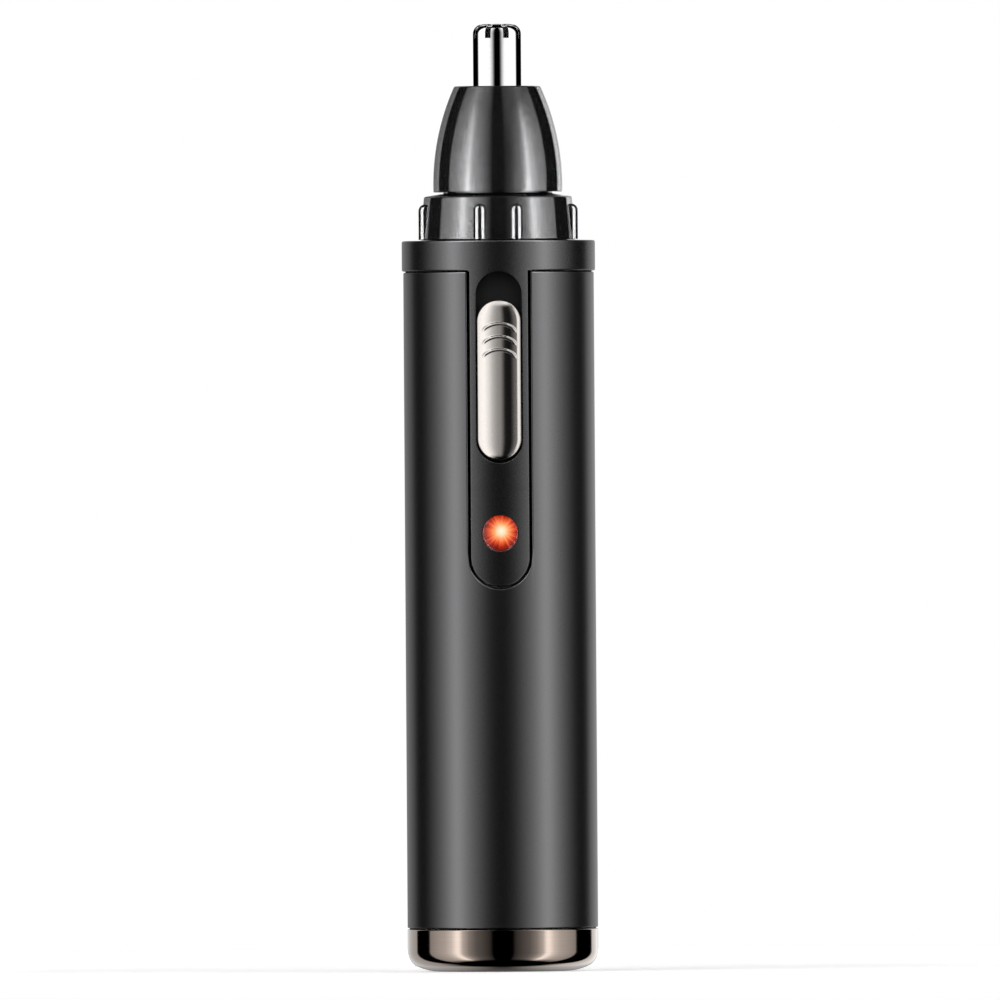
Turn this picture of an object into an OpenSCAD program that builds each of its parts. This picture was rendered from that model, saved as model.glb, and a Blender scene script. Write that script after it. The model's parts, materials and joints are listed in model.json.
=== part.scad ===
// Nose hair trimmer: a round handle with a slide switch and a charging light, and a twist-on head
// whose slotted steel tip holds a spinning cutter. Millimetres, Z up. The origin is the centre of
// the flat foot, and the switch faces -Y.

/* [Handle] */
// Outer diameter of the sleeve
sleeve_d = 27; // [25.6:0.1:31]
// Wall of the sleeve
sleeve_wall = 0.8; // [0.5:0.05:1.1]
// How far the collar stands out past the sleeve
collar_lip = 0.2; // [0:0.05:0.5]
// Height of the collar
collar_h = 4.3; // [3.4:0.1:5]
// Rounding of the collar's and the sleeve's outer edges
edge_r = 0.25; // [0.1:0.05:0.4]
// Wall of the inner frame
frame_wall = 1.2; // [0.9:0.05:1.5]
// Width of the collar's tongue, which carries the switch and the light
tongue_w = 8.3; // [7.6:0.1:9.4]
// Distance from the light's centre to the tongue's lower end
tongue_tail = 7.5; // [6:0.1:10]
// Width of the seam between the tongue and the sleeve
seam_w = 0.4; // [0.2:0.05:0.8]
// Clearance between pieces that slide into each other
fit = 0.1; // [0.05:0.01:0.14]

/* [Switch and light] */
// Length of the switch knob
knob_l = 22.75; // [18:0.25:25]
// Width of the switch knob
knob_w = 6.2; // [5.4:0.1:6.6]
// Travel of the switch knob from off to on
knob_travel = 3.6; // [2:0.1:4.4]
// Height of the knob's crown above the sleeve
knob_rise = 0.85; // [0.5:0.05:1.4]
// Radius of the knob's crowned face
knob_crown = 5.2; // [4.2:0.1:8]
// Number of grip ridges on the knob
ridge_count = 3; // [1:1:5]
// Distance between grip ridges
ridge_pitch = 1.83; // [1.2:0.01:2.4]
// Height of a grip ridge
ridge_h = 0.2; // [0.1:0.05:0.4]
// Depth of the recess that the knob slides in
recess_depth = 1.3; // [1:0.05:1.5]
// Clearance at each side of the knob
recess_gap = 0.17; // [0.1:0.01:0.3]
// Clearance past each end of the knob's travel
recess_end = 0.4; // [0.2:0.05:0.8]
// Diameter of the charging light's lens
led_d = 5; // [4:0.1:5.6]
// Distance from the recess's lower end to the light's centre
led_drop = 9.9; // [8:0.1:12]

/* [Cutting head] */
// Height of the ribbed ring
ring_h = 6.15; // [5:0.05:8]
// How far the ring narrows towards its top, on the radius
ring_taper = 0.5; // [0.2:0.05:0.9]
// Width of the ring's seat on the collar, on the radius
ring_seat = 1.15; // [0.8:0.05:1.5]
// Rise of the ring's top from its edge to the neck
ring_crown = 0.45; // [0.2:0.05:0.9]
// Height of a grip rib
rib_l = 5; // [3:0.1:5.6]
// Width of a grip rib
rib_w = 1.6; // [1:0.05:2.2]
// How far a grip rib stands out from the ring's base, on the radius
rib_h = 0.35; // [0.2:0.05:0.6]
// Angle of a rib from the middle of its pair
rib_spread = 14; // [10:1:22]
// Diameter of the cover at its base
cone_base_d = 18.3; // [17.4:0.1:20]
// Diameter of the cover at its top
cone_top_d = 12.2; // [11:0.1:14]
// Height of the cover
cone_h = 15; // [13.6:0.1:20]
// Height of the cover's widest line above its base
cone_skirt = 1; // [0:0.1:3]
// Wall of the cover at its base
cone_wall = 1.3; // [1:0.05:1.7]
// Diameter of the steel tip
tip_d = 6.8; // [6.4:0.1:7.4]
// Height of the steel tip above the cover
tip_h = 8.8; // [7.4:0.1:12]
// Wall of the steel tip
tip_wall = 0.25; // [0.2:0.01:0.35]
// Rounding of the steel tip's top edge
tip_edge = 1.4; // [1:0.05:1.8]
// Number of slots in the steel tip
slot_count = 8; // [6:1:10]
// Width of a slot
slot_w = 0.6; // [0.4:0.05:0.8]
// Depth of a slot from the tip's top
slot_l = 2; // [1.6:0.05:3]
// Angle that unlocks the head
twist = 30; // [20:1:40]

/* [Drive] */
// Diameter of the motor across its round sides
motor_d = 15.4; // [14:0.1:16]
// Width of the motor across its flats
motor_flat = 11.6; // [10.6:0.1:12]
// Length of the motor
motor_l = 20.5; // [19:0.1:26]
// Wall of the motor's can
can_wall = 0.6; // [0.4:0.05:0.8]
// Diameter of the motor's shaft
shaft_d = 2; // [1.5:0.05:2.3]
// Running clearance of a shaft in its bush, on the radius
run = 0.03; // [0.02:0.01:0.06]
// Diameter of the cutter's spindle
spindle_d = 4; // [3.4:0.1:4.4]
// Wire of the cutter's spring
spring_wire = 0.4; // [0.3:0.05:0.5]
// Turns of the cutter's spring
spring_turns = 5; // [3:1:6]
// Length of the cutter's spring
spring_l = 5.4; // [4.8:0.1:7]

/* [Battery and board] */
// Diameter of the battery cell
cell_d = 14.2; // [13:0.1:15]
// Length of the battery cell
cell_l = 48.5; // [42:0.1:60]
// Space for the wiring between the cell and the motor's holder
bay_l = 11.7; // [10:0.1:20]
// Thickness of the circuit board
board_t = 0.8; // [0.6:0.1:1]
// Clearance behind the circuit board
board_gap = 0.8; // [0.6:0.05:1.2]

/* [End cap] */
// Height of the end cap below the sleeve
cap_h = 6; // [5:0.1:9]
// Radius of the end cap's flat foot
foot_r = 9; // [7:0.1:9.8]
// Rounding of the end cap's side
cap_side_r = 2.4; // [1.6:0.1:3.2]
// Rounding of the end cap's underside
cap_under_r = 7.3; // [6:0.1:10]
// Depth of the plug that reaches into the sleeve
plug_h = 5; // [4:0.1:8]
// Diameter of the charging socket's mouth
mouth_d = 3.6; // [3:0.05:4]
// Diameter of the charging socket's pin
pin_d = 1.3; // [1:0.05:1.6]

/* [Hidden] */
$fn = 96;

// Overlap that makes a cut pass cleanly through a face
eps = 0.01;
// How far a feature reaches into the wall that it stands on
embed = 0.4;
// How far outside a solid a long cut starts
lead_in = 1;
// Reach of a cut that runs out past the whole handle
far = 30;

// Radii of the handle
sleeve_r = sleeve_d / 2;
sleeve_in = sleeve_r - sleeve_wall;
frame_r = sleeve_in - fit;
cavity_r = frame_r - frame_wall;
collar_r = sleeve_r + collar_lip;

// Heights from the foot up to the head
floor_t = 1.2;
pad_t = 0.8;
tab_t = 0.2;
holder_t = 1.6;
bulkhead_t = 1.5;
socket_depth = 6.5;
frame_z = cap_h + plug_h;
floor_z = frame_z + floor_t;
cell_z = floor_z + pad_t + tab_t;
cell_top = cell_z + cell_l;
holder_z = cell_top + bay_l;
motor_z = holder_z + holder_t;
motor_top = motor_z + motor_l;
socket_z = motor_top + bulkhead_t;
head_z = socket_z + socket_depth;
collar_z = head_z - collar_h;

// The switch's recess, its knob and the light on the tongue
recess_drop = 0.1;
recess_top = collar_z - recess_drop;
recess_z = recess_top - knob_l - knob_travel - 2 * recess_end;
recess_w = knob_w + 2 * recess_gap;
recess_y = sleeve_r - recess_depth;
recess_floor = 0.9;
tongue_back = recess_y - recess_floor;
knob_z = recess_z + recess_end;
knob_back = recess_y + fit;
knob_top = sleeve_r + knob_rise;
ridge_w = 0.5;
ridge_side = 0.9;
ridge_span = knob_w - 2 * ridge_side;
ridge_drop = 2.9;
ridge_end = 3.1;
ridge_root = 0.2;
led_z = recess_z - led_drop;
tongue_z = led_z - tongue_tail;

// The board stands in front of the motor's flat, and the cell stands behind the board
skirt_h = 5;
skirt_wall = 1.2;
board_tail = 3.6;
board_back = motor_flat / 2 + board_gap;
board_front = board_back + board_t;
board_z = led_z - board_tail;
board_top = motor_top - skirt_h - board_gap;
board_side = 0.5;
board_half = sqrt(pow(cavity_r - board_side, 2) - pow(board_front, 2));
cell_r = cell_d / 2;
cell_edge = 0.6;
pad_inset = 0.4;
cell_y = cell_r + board_gap - board_back;
chip_h = 1.2;
chip_w = 3;
resistor_w = 1.6;
resistor_t = 1;
resistor_l = 3.2;
resistor_x = 4;
resistor_drop = 2.8;
controller_w = 4;
controller_t = 1.4;
controller_l = 5;
controller_up = 4.6;
lens_flange_w = 0.6;
lens_flange_t = 0.8;
lens_rise = 0.25;
lens_dome_r = 10;

// The switch on the board: its lever stands between two prongs of the knob
lever_up = 9;
lever_z = knob_z + lever_up;
lever_w = 1.6;
lever_h = 1.8;
case_w = 3.8;
case_h = 2.4;
case_end = 1.8;
case_l = lever_h + knob_travel + 2 * case_end;
case_z = lever_z + knob_travel / 2;
case_top = board_front + case_h;
prong_w = 2.2;
prong_t = 1.2;
prong_y = case_top + 3 * fit;
hook_w = 3.4;
hook_y = tongue_back - 2 * fit;

// Screws, their bosses and posts
screw_r = 0.8;
screw_head_r = 1.7;
screw_head_h = 1.1;
boss_r = 2.3;
boss_h = 6;
boss_cap = 1;
boss_x = cavity_r - screw_head_r - 3 * fit;
post_r = 1.6;
post_side = 1.8;
post_x = board_half - post_side;
post_up = 5.4;
post_z = led_z + post_up;
screw_grip = 1.8;
holder_front = board_back - board_gap / 2;

// The frame's open back, and the saddles that hold the cell
back_y = 5;
saddle_t = 1.5;
saddle_in = 8;

// The bayonet: lugs on the head's spigot turn in grooves of the collar's socket
socket_wall = 1.75;
lug_h = 1;
lug_t = 1.4;
lug_count = 3;
lug_arc = 26;
lug_play = 1;
lug_half = lug_arc / 2 + lug_play;
groove_r = frame_r - socket_wall;
lug_r = groove_r - fit;
spigot_r = lug_r - lug_h;
socket_r = spigot_r + fit;
spigot_z = socket_z + 3 * fit;
lug_z = spigot_z + 3 * fit;

// The head
base_wall = 1.3;
spigot_wall = 1.5;
ring_r = socket_r + ring_seat;
ring_top_r = ring_r - ring_taper;
rib_r = ring_r + rib_h;
rib_pairs = 4;
ring_z = head_z + fit;
ring_top = ring_z + ring_h;
crown_z = ring_top + ring_crown;
cone_r = cone_base_d / 2;
cone_top_r = cone_top_d / 2;
neck_r = cone_r - cone_wall - fit;
neck_h = 4;
neck_top = crown_z + neck_h;
neck_in = neck_r - base_wall;
cover_z = crown_z + 2 * fit;
cover_top = cover_z + cone_h;
bore_r = neck_r + fit;
bore_spare = 0.6;
bore_top = neck_top + bore_spare;
cone_z = cover_z + cone_skirt;
cone_arc = (pow(cover_top - cone_z, 2) + pow(cone_r - cone_top_r, 2)) / (2 * (cone_r - cone_top_r));
tip_r = tip_d / 2;
tip_in = tip_r - tip_wall;
tip_top = cover_top + tip_h;
flange_w = 1.2;
flange_r = tip_r + flange_w;
flange_t = 0.4;
lid_t = 1.2;
flange_z = cover_top - lid_t - flange_t;
retainer_h = 2.6;
retainer_z = flange_z - retainer_h;
seat_r = flange_r + fit;
slot_hub_r = 1.1;
seal_r = 0.45;
seal_ring_r = bore_r - run - seal_r;
seal_z = crown_z + neck_h / 2;

// The drive, from the motor's boss up to the cutter
shaft_r = shaft_d / 2;
bush_wall = 1.2;
bush_r = shaft_r + bush_wall;
bush_h = 1.9;
bush_in = 0.3;
bush_out = 0.2;
motor_r = motor_d / 2;
nose_wall = 0.8;
nose_r = bush_r + nose_wall;
bell_h = 2.4;
can_top = 0.8;
magnet_arc = 70;
magnet_end = 1.5;
commutator_gap = 0.4;
commutator_h = 2;
commutator_wall = 0.9;
core_gap = 0.6;
core_end = 2;
core_slot_r = 1.1;
shaft_end = 0.5;
shaft_stop = 0.5;
drive_wall = 1.8;
drive_r = shaft_r + drive_wall;
drive_gap = 0.6;
drive_z = socket_z + drive_gap;
drive_h = 3.2;
dog_w = 1.2;
dog_inset = 0.2;
dog_l = 2 * (drive_r - dog_inset);
dog_h = 2;
spindle_r = spindle_d / 2;
fork_z = drive_z + drive_h + 2 * fit;
fork_h = 4;
fork_wall = 2.2;
fork_r = shaft_r + fork_wall;
web_t = 2;
web_drop = 0.6;
web_top = crown_z - web_drop;
web_z = web_top - web_t;
spindle_bush_wall = 1;
spindle_bush_r = spindle_r + spindle_bush_wall;
spindle_bush_drop = 0.6;
spindle_bush_z = web_z - spindle_bush_drop;
bush_flange_w = 1.2;
bush_flange_r = spindle_bush_r + bush_flange_w;
bush_flange_t = 0.8;
clip_t = 0.6;
clip_w = 0.4;
clip_gap = 0.4;
clip_z = spindle_bush_z - clip_gap - clip_t;
clip_cut = 0.4;
spring_z = web_top + bush_flange_t + fit;
spring_r = spindle_r + fit + spring_wire;
shoulder_z = spring_z + spring_l + fit;
shoulder_h = 1.2;
blade_gap = 0.1;
blade_r = tip_in - blade_gap;
blade_top = tip_top - tip_wall - blade_gap;
blade_l = 5.5;
blade_t = 0.4;
blade_base_t = 0.6;
blade_hub_r = blade_r - blade_t;
carrier_l = 2;
carrier_z = retainer_z - carrier_l;
tang_r = 0.8;
tang_l = 2.5;

// The end cap's side rounding is centred where it flows into the rounding of the underside
cap_side_x = sleeve_r - cap_side_r;
cap_side_z = cap_under_r - sqrt(pow(cap_under_r - cap_side_r, 2) - pow(cap_side_x - foot_r, 2));
cap_floor = 1.6;

// The charging socket in the end cap
mouth_r = mouth_d / 2;
rim_wall = 0.6;
rim_r = mouth_r + rim_wall;
jack_wall = 1;
jack_r = rim_r + jack_wall;
jack_h = 6;
jack_top = cap_floor + jack_h;
jack_lid = 0.8;
jack_boss_wall = 1.2;
jack_boss_h = 4;
pin_r = pin_d / 2;
pin_step = 0.25;
pin_z = 0.8;
pin_point = 0.3;
pin_base_t = 0.4;
pin_base_z = jack_top - jack_lid - pin_base_t;
solder_r = 0.25;
solder_x = mouth_r + rim_wall / 2;
solder_h = 0.6;
solder_z = jack_top + solder_h;

// The leads, with the points they follow chosen by hand from the pieces they join
lead_r = 0.5;
lead_sides = 8;
lead_bore = lead_r + 3 * fit;
lead_off = 1.4;
lead_turn = 40;
lead_ring = cavity_r - lead_off;
lead_x = lead_ring * sin(lead_turn);
lead_y = -lead_ring * cos(lead_turn);
side_x = -(cell_r + lead_off);
lead_gap = 0.03;
lead_back = -board_back + lead_off;
lead_end = -board_back + lead_gap;
terminal_x = 4.6;
terminal_t = 0.4;
terminal_w = 2;
terminal_l = 2;
terminal_room = 2;

function charge_route(side, start_x) = [
    [start_x, 0, solder_z + lead_gap], [start_x, 0, solder_z + 0.5],
    [start_x + side * 0.4, -0.6, solder_z + 1.1], [side * 3.6, -3.2, solder_z + 1.6],
    [side * 4.9, lead_y + 2.2, solder_z + 1.6], [side * 5.9, lead_y + 0.7, solder_z + 2],
    [side * lead_x, lead_y, frame_z], [side * lead_x, lead_y, floor_z + 1],
    [side * lead_x, lead_y, cell_top - saddle_in + 0.5], [side * 6.2, lead_y + 0.5, cell_top - 6],
    [side * 5.8, lead_y + 1.6, cell_top - 4.4], [side * 5.5, lead_back, cell_top - 2.4],
    [side * 5.5, lead_back, cell_top + 0.2], [side * 5.5, lead_back - 0.3, cell_top + 1.2],
    [side * 5.5, lead_back - 0.8, cell_top + 1.5], [side * 5.5, lead_end, cell_top + 1.5]];
negative_route = [
    [side_x, cell_y, cell_z + lead_gap], [side_x, cell_y, cell_z + 2], [side_x, cell_y, cell_top - 4],
    [side_x + 0.1, cell_y - 0.5, cell_top - 1.6], [side_x + 0.8, -1, cell_top + 0.8],
    [-6.2, -3, cell_top + 2.6], [-4.4, -4.6, cell_top + 3.9], [-3, lead_back - 0.6, cell_top + 4.2],
    [-3, lead_end, cell_top + 4.2]];
positive_route = [
    [0, cell_y - 4, cell_top + tab_t + lead_gap], [0, cell_y - 4, cell_top + 1.3],
    [0, -3.1, cell_top + 2.6], [0, -4, cell_top + 3.8],
    [0, lead_back, cell_top + 4.5], [0, lead_end, cell_top + 4.5]];
function motor_route(side) = [
    [side * terminal_x, -terminal_t / 2 - lead_gap, holder_z - 1.2],
    [side * terminal_x, -1.6, holder_z - 1.2], [side * terminal_x, -3.6, holder_z - 2],
    [side * terminal_x, lead_back, holder_z - 2.5], [side * terminal_x, lead_end, holder_z - 2.5]];

// The spring's wound line, with eight points a turn, and the least gap between its turns
spring_step = 45;
spring_sides = 6;
spring_line = [for (a = [0:spring_step:360 * spring_turns]) [
    spring_r * cos(a), spring_r * sin(a),
    spring_z + spring_wire / 2 + (spring_l - spring_wire) * a / (360 * spring_turns)]];
spring_gap = min([for (i = [0:len(spring_line) - 6], j = [i + 5:len(spring_line) - 1])
    norm(spring_line[i] - spring_line[j])]) - spring_wire;
echo(least_gap_between_spring_turns = spring_gap);

// Shapes that several pieces share

// A rectangle in the half plane of a turned piece, with rounded outer corners
module turned_bar(r0, r1, z0, z1, low_r = 0, top_r = 0) {
    difference() {
        translate([r0, z0]) square([r1 - r0, z1 - z0]);
        if (low_r > 0) corner_cut(r1, z0, low_r, 1);
        if (top_r > 0) corner_cut(r1, z1, top_r, -1);
    }
}

// What a rounding takes off an outer corner; up is 1 at a lower corner and -1 at an upper one
module corner_cut(x, z, r, up) {
    difference() {
        translate([x - r, z - (up > 0 ? eps : r)]) square([r + eps, r + eps]);
        translate([x - r, z + up * r]) circle(r);
    }
}

// A pill outline that stands upright
module pill(w, z0, z1) {
    translate([-w / 2, z0 + w / 2]) square([w, z1 - z0 - w]);
    translate([0, z0 + w / 2]) circle(d = w);
    translate([0, z1 - w / 2]) circle(d = w);
}

// An upright outline pushed through from depth y0 to depth y1 on the front
module front(y0, y1) {
    translate([0, -y0, 0]) rotate([90, 0, 0]) linear_extrude(y1 - y0) children();
}

// A slice of a disc, between two angles less than half a turn apart
module slice(r, from, to) {
    intersection() {
        circle(r);
        polygon([[0, 0], for (a = [from, (from + to) / 2, to]) far * [cos(a), sin(a)]]);
    }
}

// The outline of the motor seen from its end
module motor_outline(inset) {
    intersection() {
        circle(motor_r - inset);
        square([motor_d, motor_flat - 2 * inset], center = true);
    }
}

// A screw that points along +Z, with its head below z = 0
module screw(grip) {
    translate([0, 0, -screw_head_h]) cylinder(r = screw_head_r, h = screw_head_h);
    translate([0, 0, -eps]) cylinder(r = screw_r, h = grip);
}

// A round tube swept along a line of points
function unit(v) = v / norm(v);
function heading(line, i) = unit(line[min(i + 1, len(line) - 1)] - line[max(i - 1, 0)]);
function ring_points(line, i, r, sides, lean) = let (
    t = heading(line, i), u = unit(cross(t, lean)), v = cross(t, u))
    [for (k = [0:sides - 1]) line[i] + r * (cos(360 * k / sides) * u + sin(360 * k / sides) * v)];
module swept(line, r, sides, lean) {
    n = len(line);
    points = [for (i = [0:n - 1]) each ring_points(line, i, r, sides, lean)];
    walls = [for (i = [0:n - 2], k = [0:sides - 1]) let (
        a = i * sides + k, b = i * sides + (k + 1) % sides)
        each [[a, b, b + sides], [a, b + sides, a + sides]]];
    low = [for (k = [1:sides - 2]) [0, k + 1, k]];
    top = [for (k = [1:sides - 2]) (n - 1) * sides * [1, 1, 1] + [0, k, k + 1]];
    polyhedron(points, [for (f = concat(walls, low, top)) [f[0], f[2], f[1]]]);
}

// The handle

module outer_sleeve() color("#2b2b2d") {
    difference() {
        rotate_extrude() turned_bar(sleeve_in, sleeve_r, cap_h, collar_z, edge_r, edge_r);
        front(0, far) pill(tongue_w + 2 * seam_w, tongue_z - seam_w, collar_z + far);
    }
}

module front_collar() color("#29292b") {
    difference() {
        union() {
            rotate_extrude() turned_bar(0, collar_r, collar_z, head_z, edge_r, edge_r);
            intersection() {
                translate([0, 0, tongue_z - lead_in])
                    cylinder(r = sleeve_r, h = collar_z + embed - tongue_z + lead_in);
                front(tongue_back, far) pill(tongue_w, tongue_z, collar_z + far);
            }
        }
        translate([0, 0, collar_z - lead_in]) cylinder(r = socket_r, h = far);
        bayonet_slots(collar_z - lead_in, far, twist - lug_half, twist + lug_half);
        switch_recess();
        translate([0, 0, led_z]) front(board_front, far) circle(led_d / 2 + run);
    }
}

module inner_frame() color("#29292b") {
    difference() {
        union() {
            frame_shell();
            intersection() {
                frame_inside();
                translate([0, 0, frame_z]) cylinder(r = cavity_r + embed, h = motor_top + embed - frame_z);
            }
        }
        front(tongue_back - fit, far) pill(tongue_w + 2 * fit, tongue_z - fit, collar_z + far);
        translate([0, 0, socket_z]) cylinder(r = socket_r, h = far);
        bayonet_slots(lug_z - fit, far, -lug_half, twist + lug_half);
        frame_holes();
    }
}

module frame_shell() {
    difference() {
        translate([0, 0, frame_z]) cylinder(r = frame_r, h = collar_z - frame_z);
        translate([0, 0, floor_z]) cylinder(r = cavity_r, h = motor_top - floor_z);
        translate([-far, back_y, floor_z + saddle_t])
            cube([2 * far, far, motor_top - skirt_h - floor_z - saddle_t]);
    }
}

// What stands inside the frame, reaching into its wall
module frame_inside() {
    motor_skirt();
    for (side = [-1, 1]) holder_boss(side);
    for (side = [-1, 1]) translate([side * post_x, 0, post_z]) front(board_front, far) circle(post_r);
    for (z = [cell_z + saddle_in, cell_top - saddle_in - saddle_t]) cell_saddle(z);
}

module motor_skirt() {
    difference() {
        translate([0, 0, motor_top - skirt_h]) cylinder(r = motor_r + fit + skirt_wall, h = skirt_h + embed);
        translate([0, 0, motor_top - skirt_h - lead_in]) cylinder(r = motor_r + fit, h = skirt_h + lead_in);
    }
}

module holder_boss(side) {
    difference() {
        translate([side * boss_x, 0, motor_z]) cylinder(r = boss_r, h = boss_h);
        translate([0, 0, motor_z - lead_in]) cylinder(r = motor_r + fit, h = boss_h + 2 * lead_in);
    }
}

module cell_saddle(z) {
    difference() {
        translate([-far, -far, z]) cube([2 * far, far + back_y, saddle_t]);
        translate([0, cell_y, z - lead_in]) cylinder(r = cell_r + fit, h = saddle_t + 2 * lead_in);
    }
}

// Holes for the motor's nose, the light, the screws and the leads
module frame_holes() {
    translate([0, 0, led_z]) front(board_front, far) circle(led_d / 2 + lens_flange_w + 2 * fit);
    translate([0, 0, motor_top - lead_in]) cylinder(r = nose_r + fit, h = bulkhead_t + 2 * lead_in);
    for (side = [-1, 1]) {
        translate([side * boss_x, 0, motor_z - lead_in])
            cylinder(r = screw_r + run, h = lead_in + boss_h - boss_cap);
        translate([side * post_x, 0, post_z])
            front(board_front - lead_in, board_front + screw_grip + fit) circle(screw_r + run);
        translate([side * lead_x, lead_y, frame_z - lead_in]) cylinder(r = lead_bore, h = cell_top - frame_z);
    }
    translate([side_x, cell_y, floor_z + lead_in]) cylinder(r = lead_bore, h = cell_l);
}

// The bayonet's ways for the lugs: grooves in the frame, under the entries through the collar
module bayonet_slots(z, h, from, to) {
    for (k = [0:lug_count - 1]) rotate([0, 0, 90 + 360 * k / lug_count])
        translate([0, 0, z]) linear_extrude(h) slice(groove_r, from, to);
}

module switch_recess() {
    front(recess_y, far) pill(recess_w, recess_z, recess_top);
    reach = lever_h / 2 + fit + prong_t + fit;
    translate([-prong_w / 2 - fit, -recess_y - eps, lever_z - reach])
        cube([prong_w + 2 * fit, recess_floor + lead_in, 2 * reach + knob_travel]);
}

// The end cap's outline: a wall, a side rounding that flows into a flatter underside, and a flat foot
module cap_outline() {
    lean = [cap_side_x - foot_r, cap_side_z - cap_under_r];
    intersection() {
        turned_bar(0, sleeve_r, 0, cap_h, 0, edge_r);
        union() {
            square([foot_r, cap_h]);
            intersection() {
                translate([foot_r, cap_under_r]) circle(cap_under_r);
                polygon([[foot_r - eps, cap_under_r], [foot_r - eps, -eps],
                    [foot_r, cap_under_r] + lean * far]);
            }
            translate([cap_side_x, cap_side_z]) circle(cap_side_r);
            polygon([[foot_r - eps, cap_under_r], [cap_side_x, cap_side_z],
                [sleeve_r, cap_side_z], [sleeve_r, cap_under_r]]);
            translate([0, cap_side_z]) square([sleeve_r, cap_h]);
        }
    }
}

module end_cap() color("#7d6a5f") {
    difference() {
        union() {
            rotate_extrude() cap_outline();
            translate([0, 0, cap_h - eps]) cylinder(r = frame_r, h = plug_h + eps);
        }
        difference() {
            translate([0, 0, cap_floor]) cylinder(r = cavity_r, h = far);
            translate([0, 0, cap_floor - eps]) cylinder(r = jack_r + fit + jack_boss_wall, h = jack_boss_h);
        }
        translate([0, 0, cap_floor]) cylinder(r = jack_r + fit, h = far);
        translate([0, 0, -eps]) cylinder(r = rim_r + run, h = far);
    }
}

module charging_socket() color("#202022") {
    difference() {
        translate([0, 0, cap_floor]) cylinder(r = jack_r, h = jack_top - cap_floor);
        translate([0, 0, -eps]) cylinder(r = rim_r + run, h = jack_top - jack_lid + eps);
        translate([0, 0, cap_floor]) cylinder(r = pin_r + pin_step + run, h = far);
        translate([solder_x, 0, cap_floor]) cylinder(r = solder_r + run, h = far);
    }
}

module socket_rim() color("#c9c9cb") {
    rim_top = jack_top - jack_lid - run;
    difference() {
        rotate_extrude() turned_bar(0, rim_r, 0, rim_top, edge_r, 0);
        translate([0, 0, -eps]) cylinder(r = mouth_r, h = far);
    }
    translate([solder_x, 0, rim_top - lead_in]) cylinder(r = solder_r, h = solder_z - rim_top + lead_in);
}

module socket_pin() color("#c9c9cb") {
    translate([0, 0, pin_z]) cylinder(r1 = pin_r - pin_step, r2 = pin_r, h = pin_point);
    translate([0, 0, pin_z + pin_point]) cylinder(r = pin_r, h = pin_base_z - pin_z - pin_point);
    translate([0, 0, pin_base_z]) cylinder(r = pin_r + pin_step, h = solder_z - pin_base_z);
}

module battery_pad() color("#3a3a3c") {
    translate([0, cell_y, floor_z]) cylinder(r = cell_r - pad_inset, h = pad_t);
}

module battery_tabs() color("#bdbdb8") {
    tab_w = 3;
    tab_over = 0.8;
    top_tab_l = 7;
    top_tab_y = 5;
    translate([side_x - tab_over, cell_y - tab_w / 2, cell_z - tab_t])
        cube([tab_over - side_x + tab_w, tab_w, tab_t]);
    translate([-tab_w / 2, cell_y - top_tab_y, cell_top]) cube([tab_w, top_tab_l, tab_t]);
}

module battery_cell() color("#2f7d4f") {
    translate([0, cell_y, 0]) rotate_extrude() turned_bar(0, cell_r, cell_z, cell_top, cell_edge, cell_edge);
}

module circuit_board() color("#1f6b3a") {
    difference() {
        translate([-board_half, -board_front, board_z]) cube([2 * board_half, board_t, board_top - board_z]);
        for (side = [-1, 1]) translate([side * post_x, 0, post_z])
            front(board_back - eps, board_front + eps) circle(screw_r + fit);
    }
}

module board_components() color("#303034") {
    for (side = [-1, 1])
        translate([side * resistor_x - resistor_w / 2, -board_front - resistor_t, led_z - resistor_drop])
            cube([resistor_w, resistor_t, resistor_l]);
    translate([-controller_w / 2, -board_front - controller_t, led_z + controller_up])
        cube([controller_w, controller_t, controller_l]);
}

module board_screws() color("#a8a8aa") {
    for (side = [-1, 1]) translate([side * post_x, -board_back, post_z])
        rotate([90, 0, 0]) screw(board_t + screw_grip);
}

module led_chip() color("#f2e6c8") {
    translate([-chip_w / 2, -board_front - chip_h, led_z - chip_w / 2]) cube([chip_w, chip_h, chip_w]);
}

module led_lens() color("#e0301e") {
    back = board_front + chip_h + 2 * fit;
    translate([0, 0, led_z]) {
        front(back, tongue_back - lens_flange_t) circle(led_d / 2 - lens_flange_w);
        front(tongue_back - lens_flange_t - eps, tongue_back) circle(led_d / 2 + lens_flange_w);
        intersection() {
            front(tongue_back - eps, far) circle(led_d / 2);
            translate([0, lens_dome_r - sleeve_r - lens_rise, 0]) sphere(lens_dome_r);
        }
    }
}

module switch_case() color("#b4b4b6") {
    difference() {
        translate([-case_w / 2, -case_top, case_z - case_l / 2]) cube([case_w, case_h, case_l]);
        translate([-lever_w / 2 - fit, -case_top - eps, lever_z - lever_h / 2 - fit])
            cube([lever_w + 2 * fit, case_h / 2 + eps, lever_h + knob_travel + 2 * fit]);
    }
}

module switch_lever() color("#1d1d1f") {
    low = case_top - case_h / 2 + fit;
    translate([-lever_w / 2, -recess_y + 3 * fit, lever_z - lever_h / 2])
        cube([lever_w, recess_y - 3 * fit - low, lever_h]);
}

// The knob's crowned solid, raised by the height of what stands on it
module knob_crown_solid(raise) {
    low = knob_z + knob_w / 2;
    high = knob_z + knob_l - knob_w / 2;
    translate([0, knob_crown - knob_top, 0]) {
        translate([0, 0, low]) cylinder(r = knob_crown + raise, h = high - low);
        translate([0, 0, low]) sphere(knob_crown + raise);
        translate([0, 0, high]) sphere(knob_crown + raise);
    }
}

// One arched ridge's outline, with its peak at height z
module ridge_outline(z) {
    intersection() {
        translate([0, z - ridge_drop]) difference() {
            circle(ridge_drop);
            circle(ridge_drop - ridge_w);
        }
        translate([-ridge_span / 2, z - ridge_drop]) square([ridge_span, ridge_drop]);
    }
}

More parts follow.
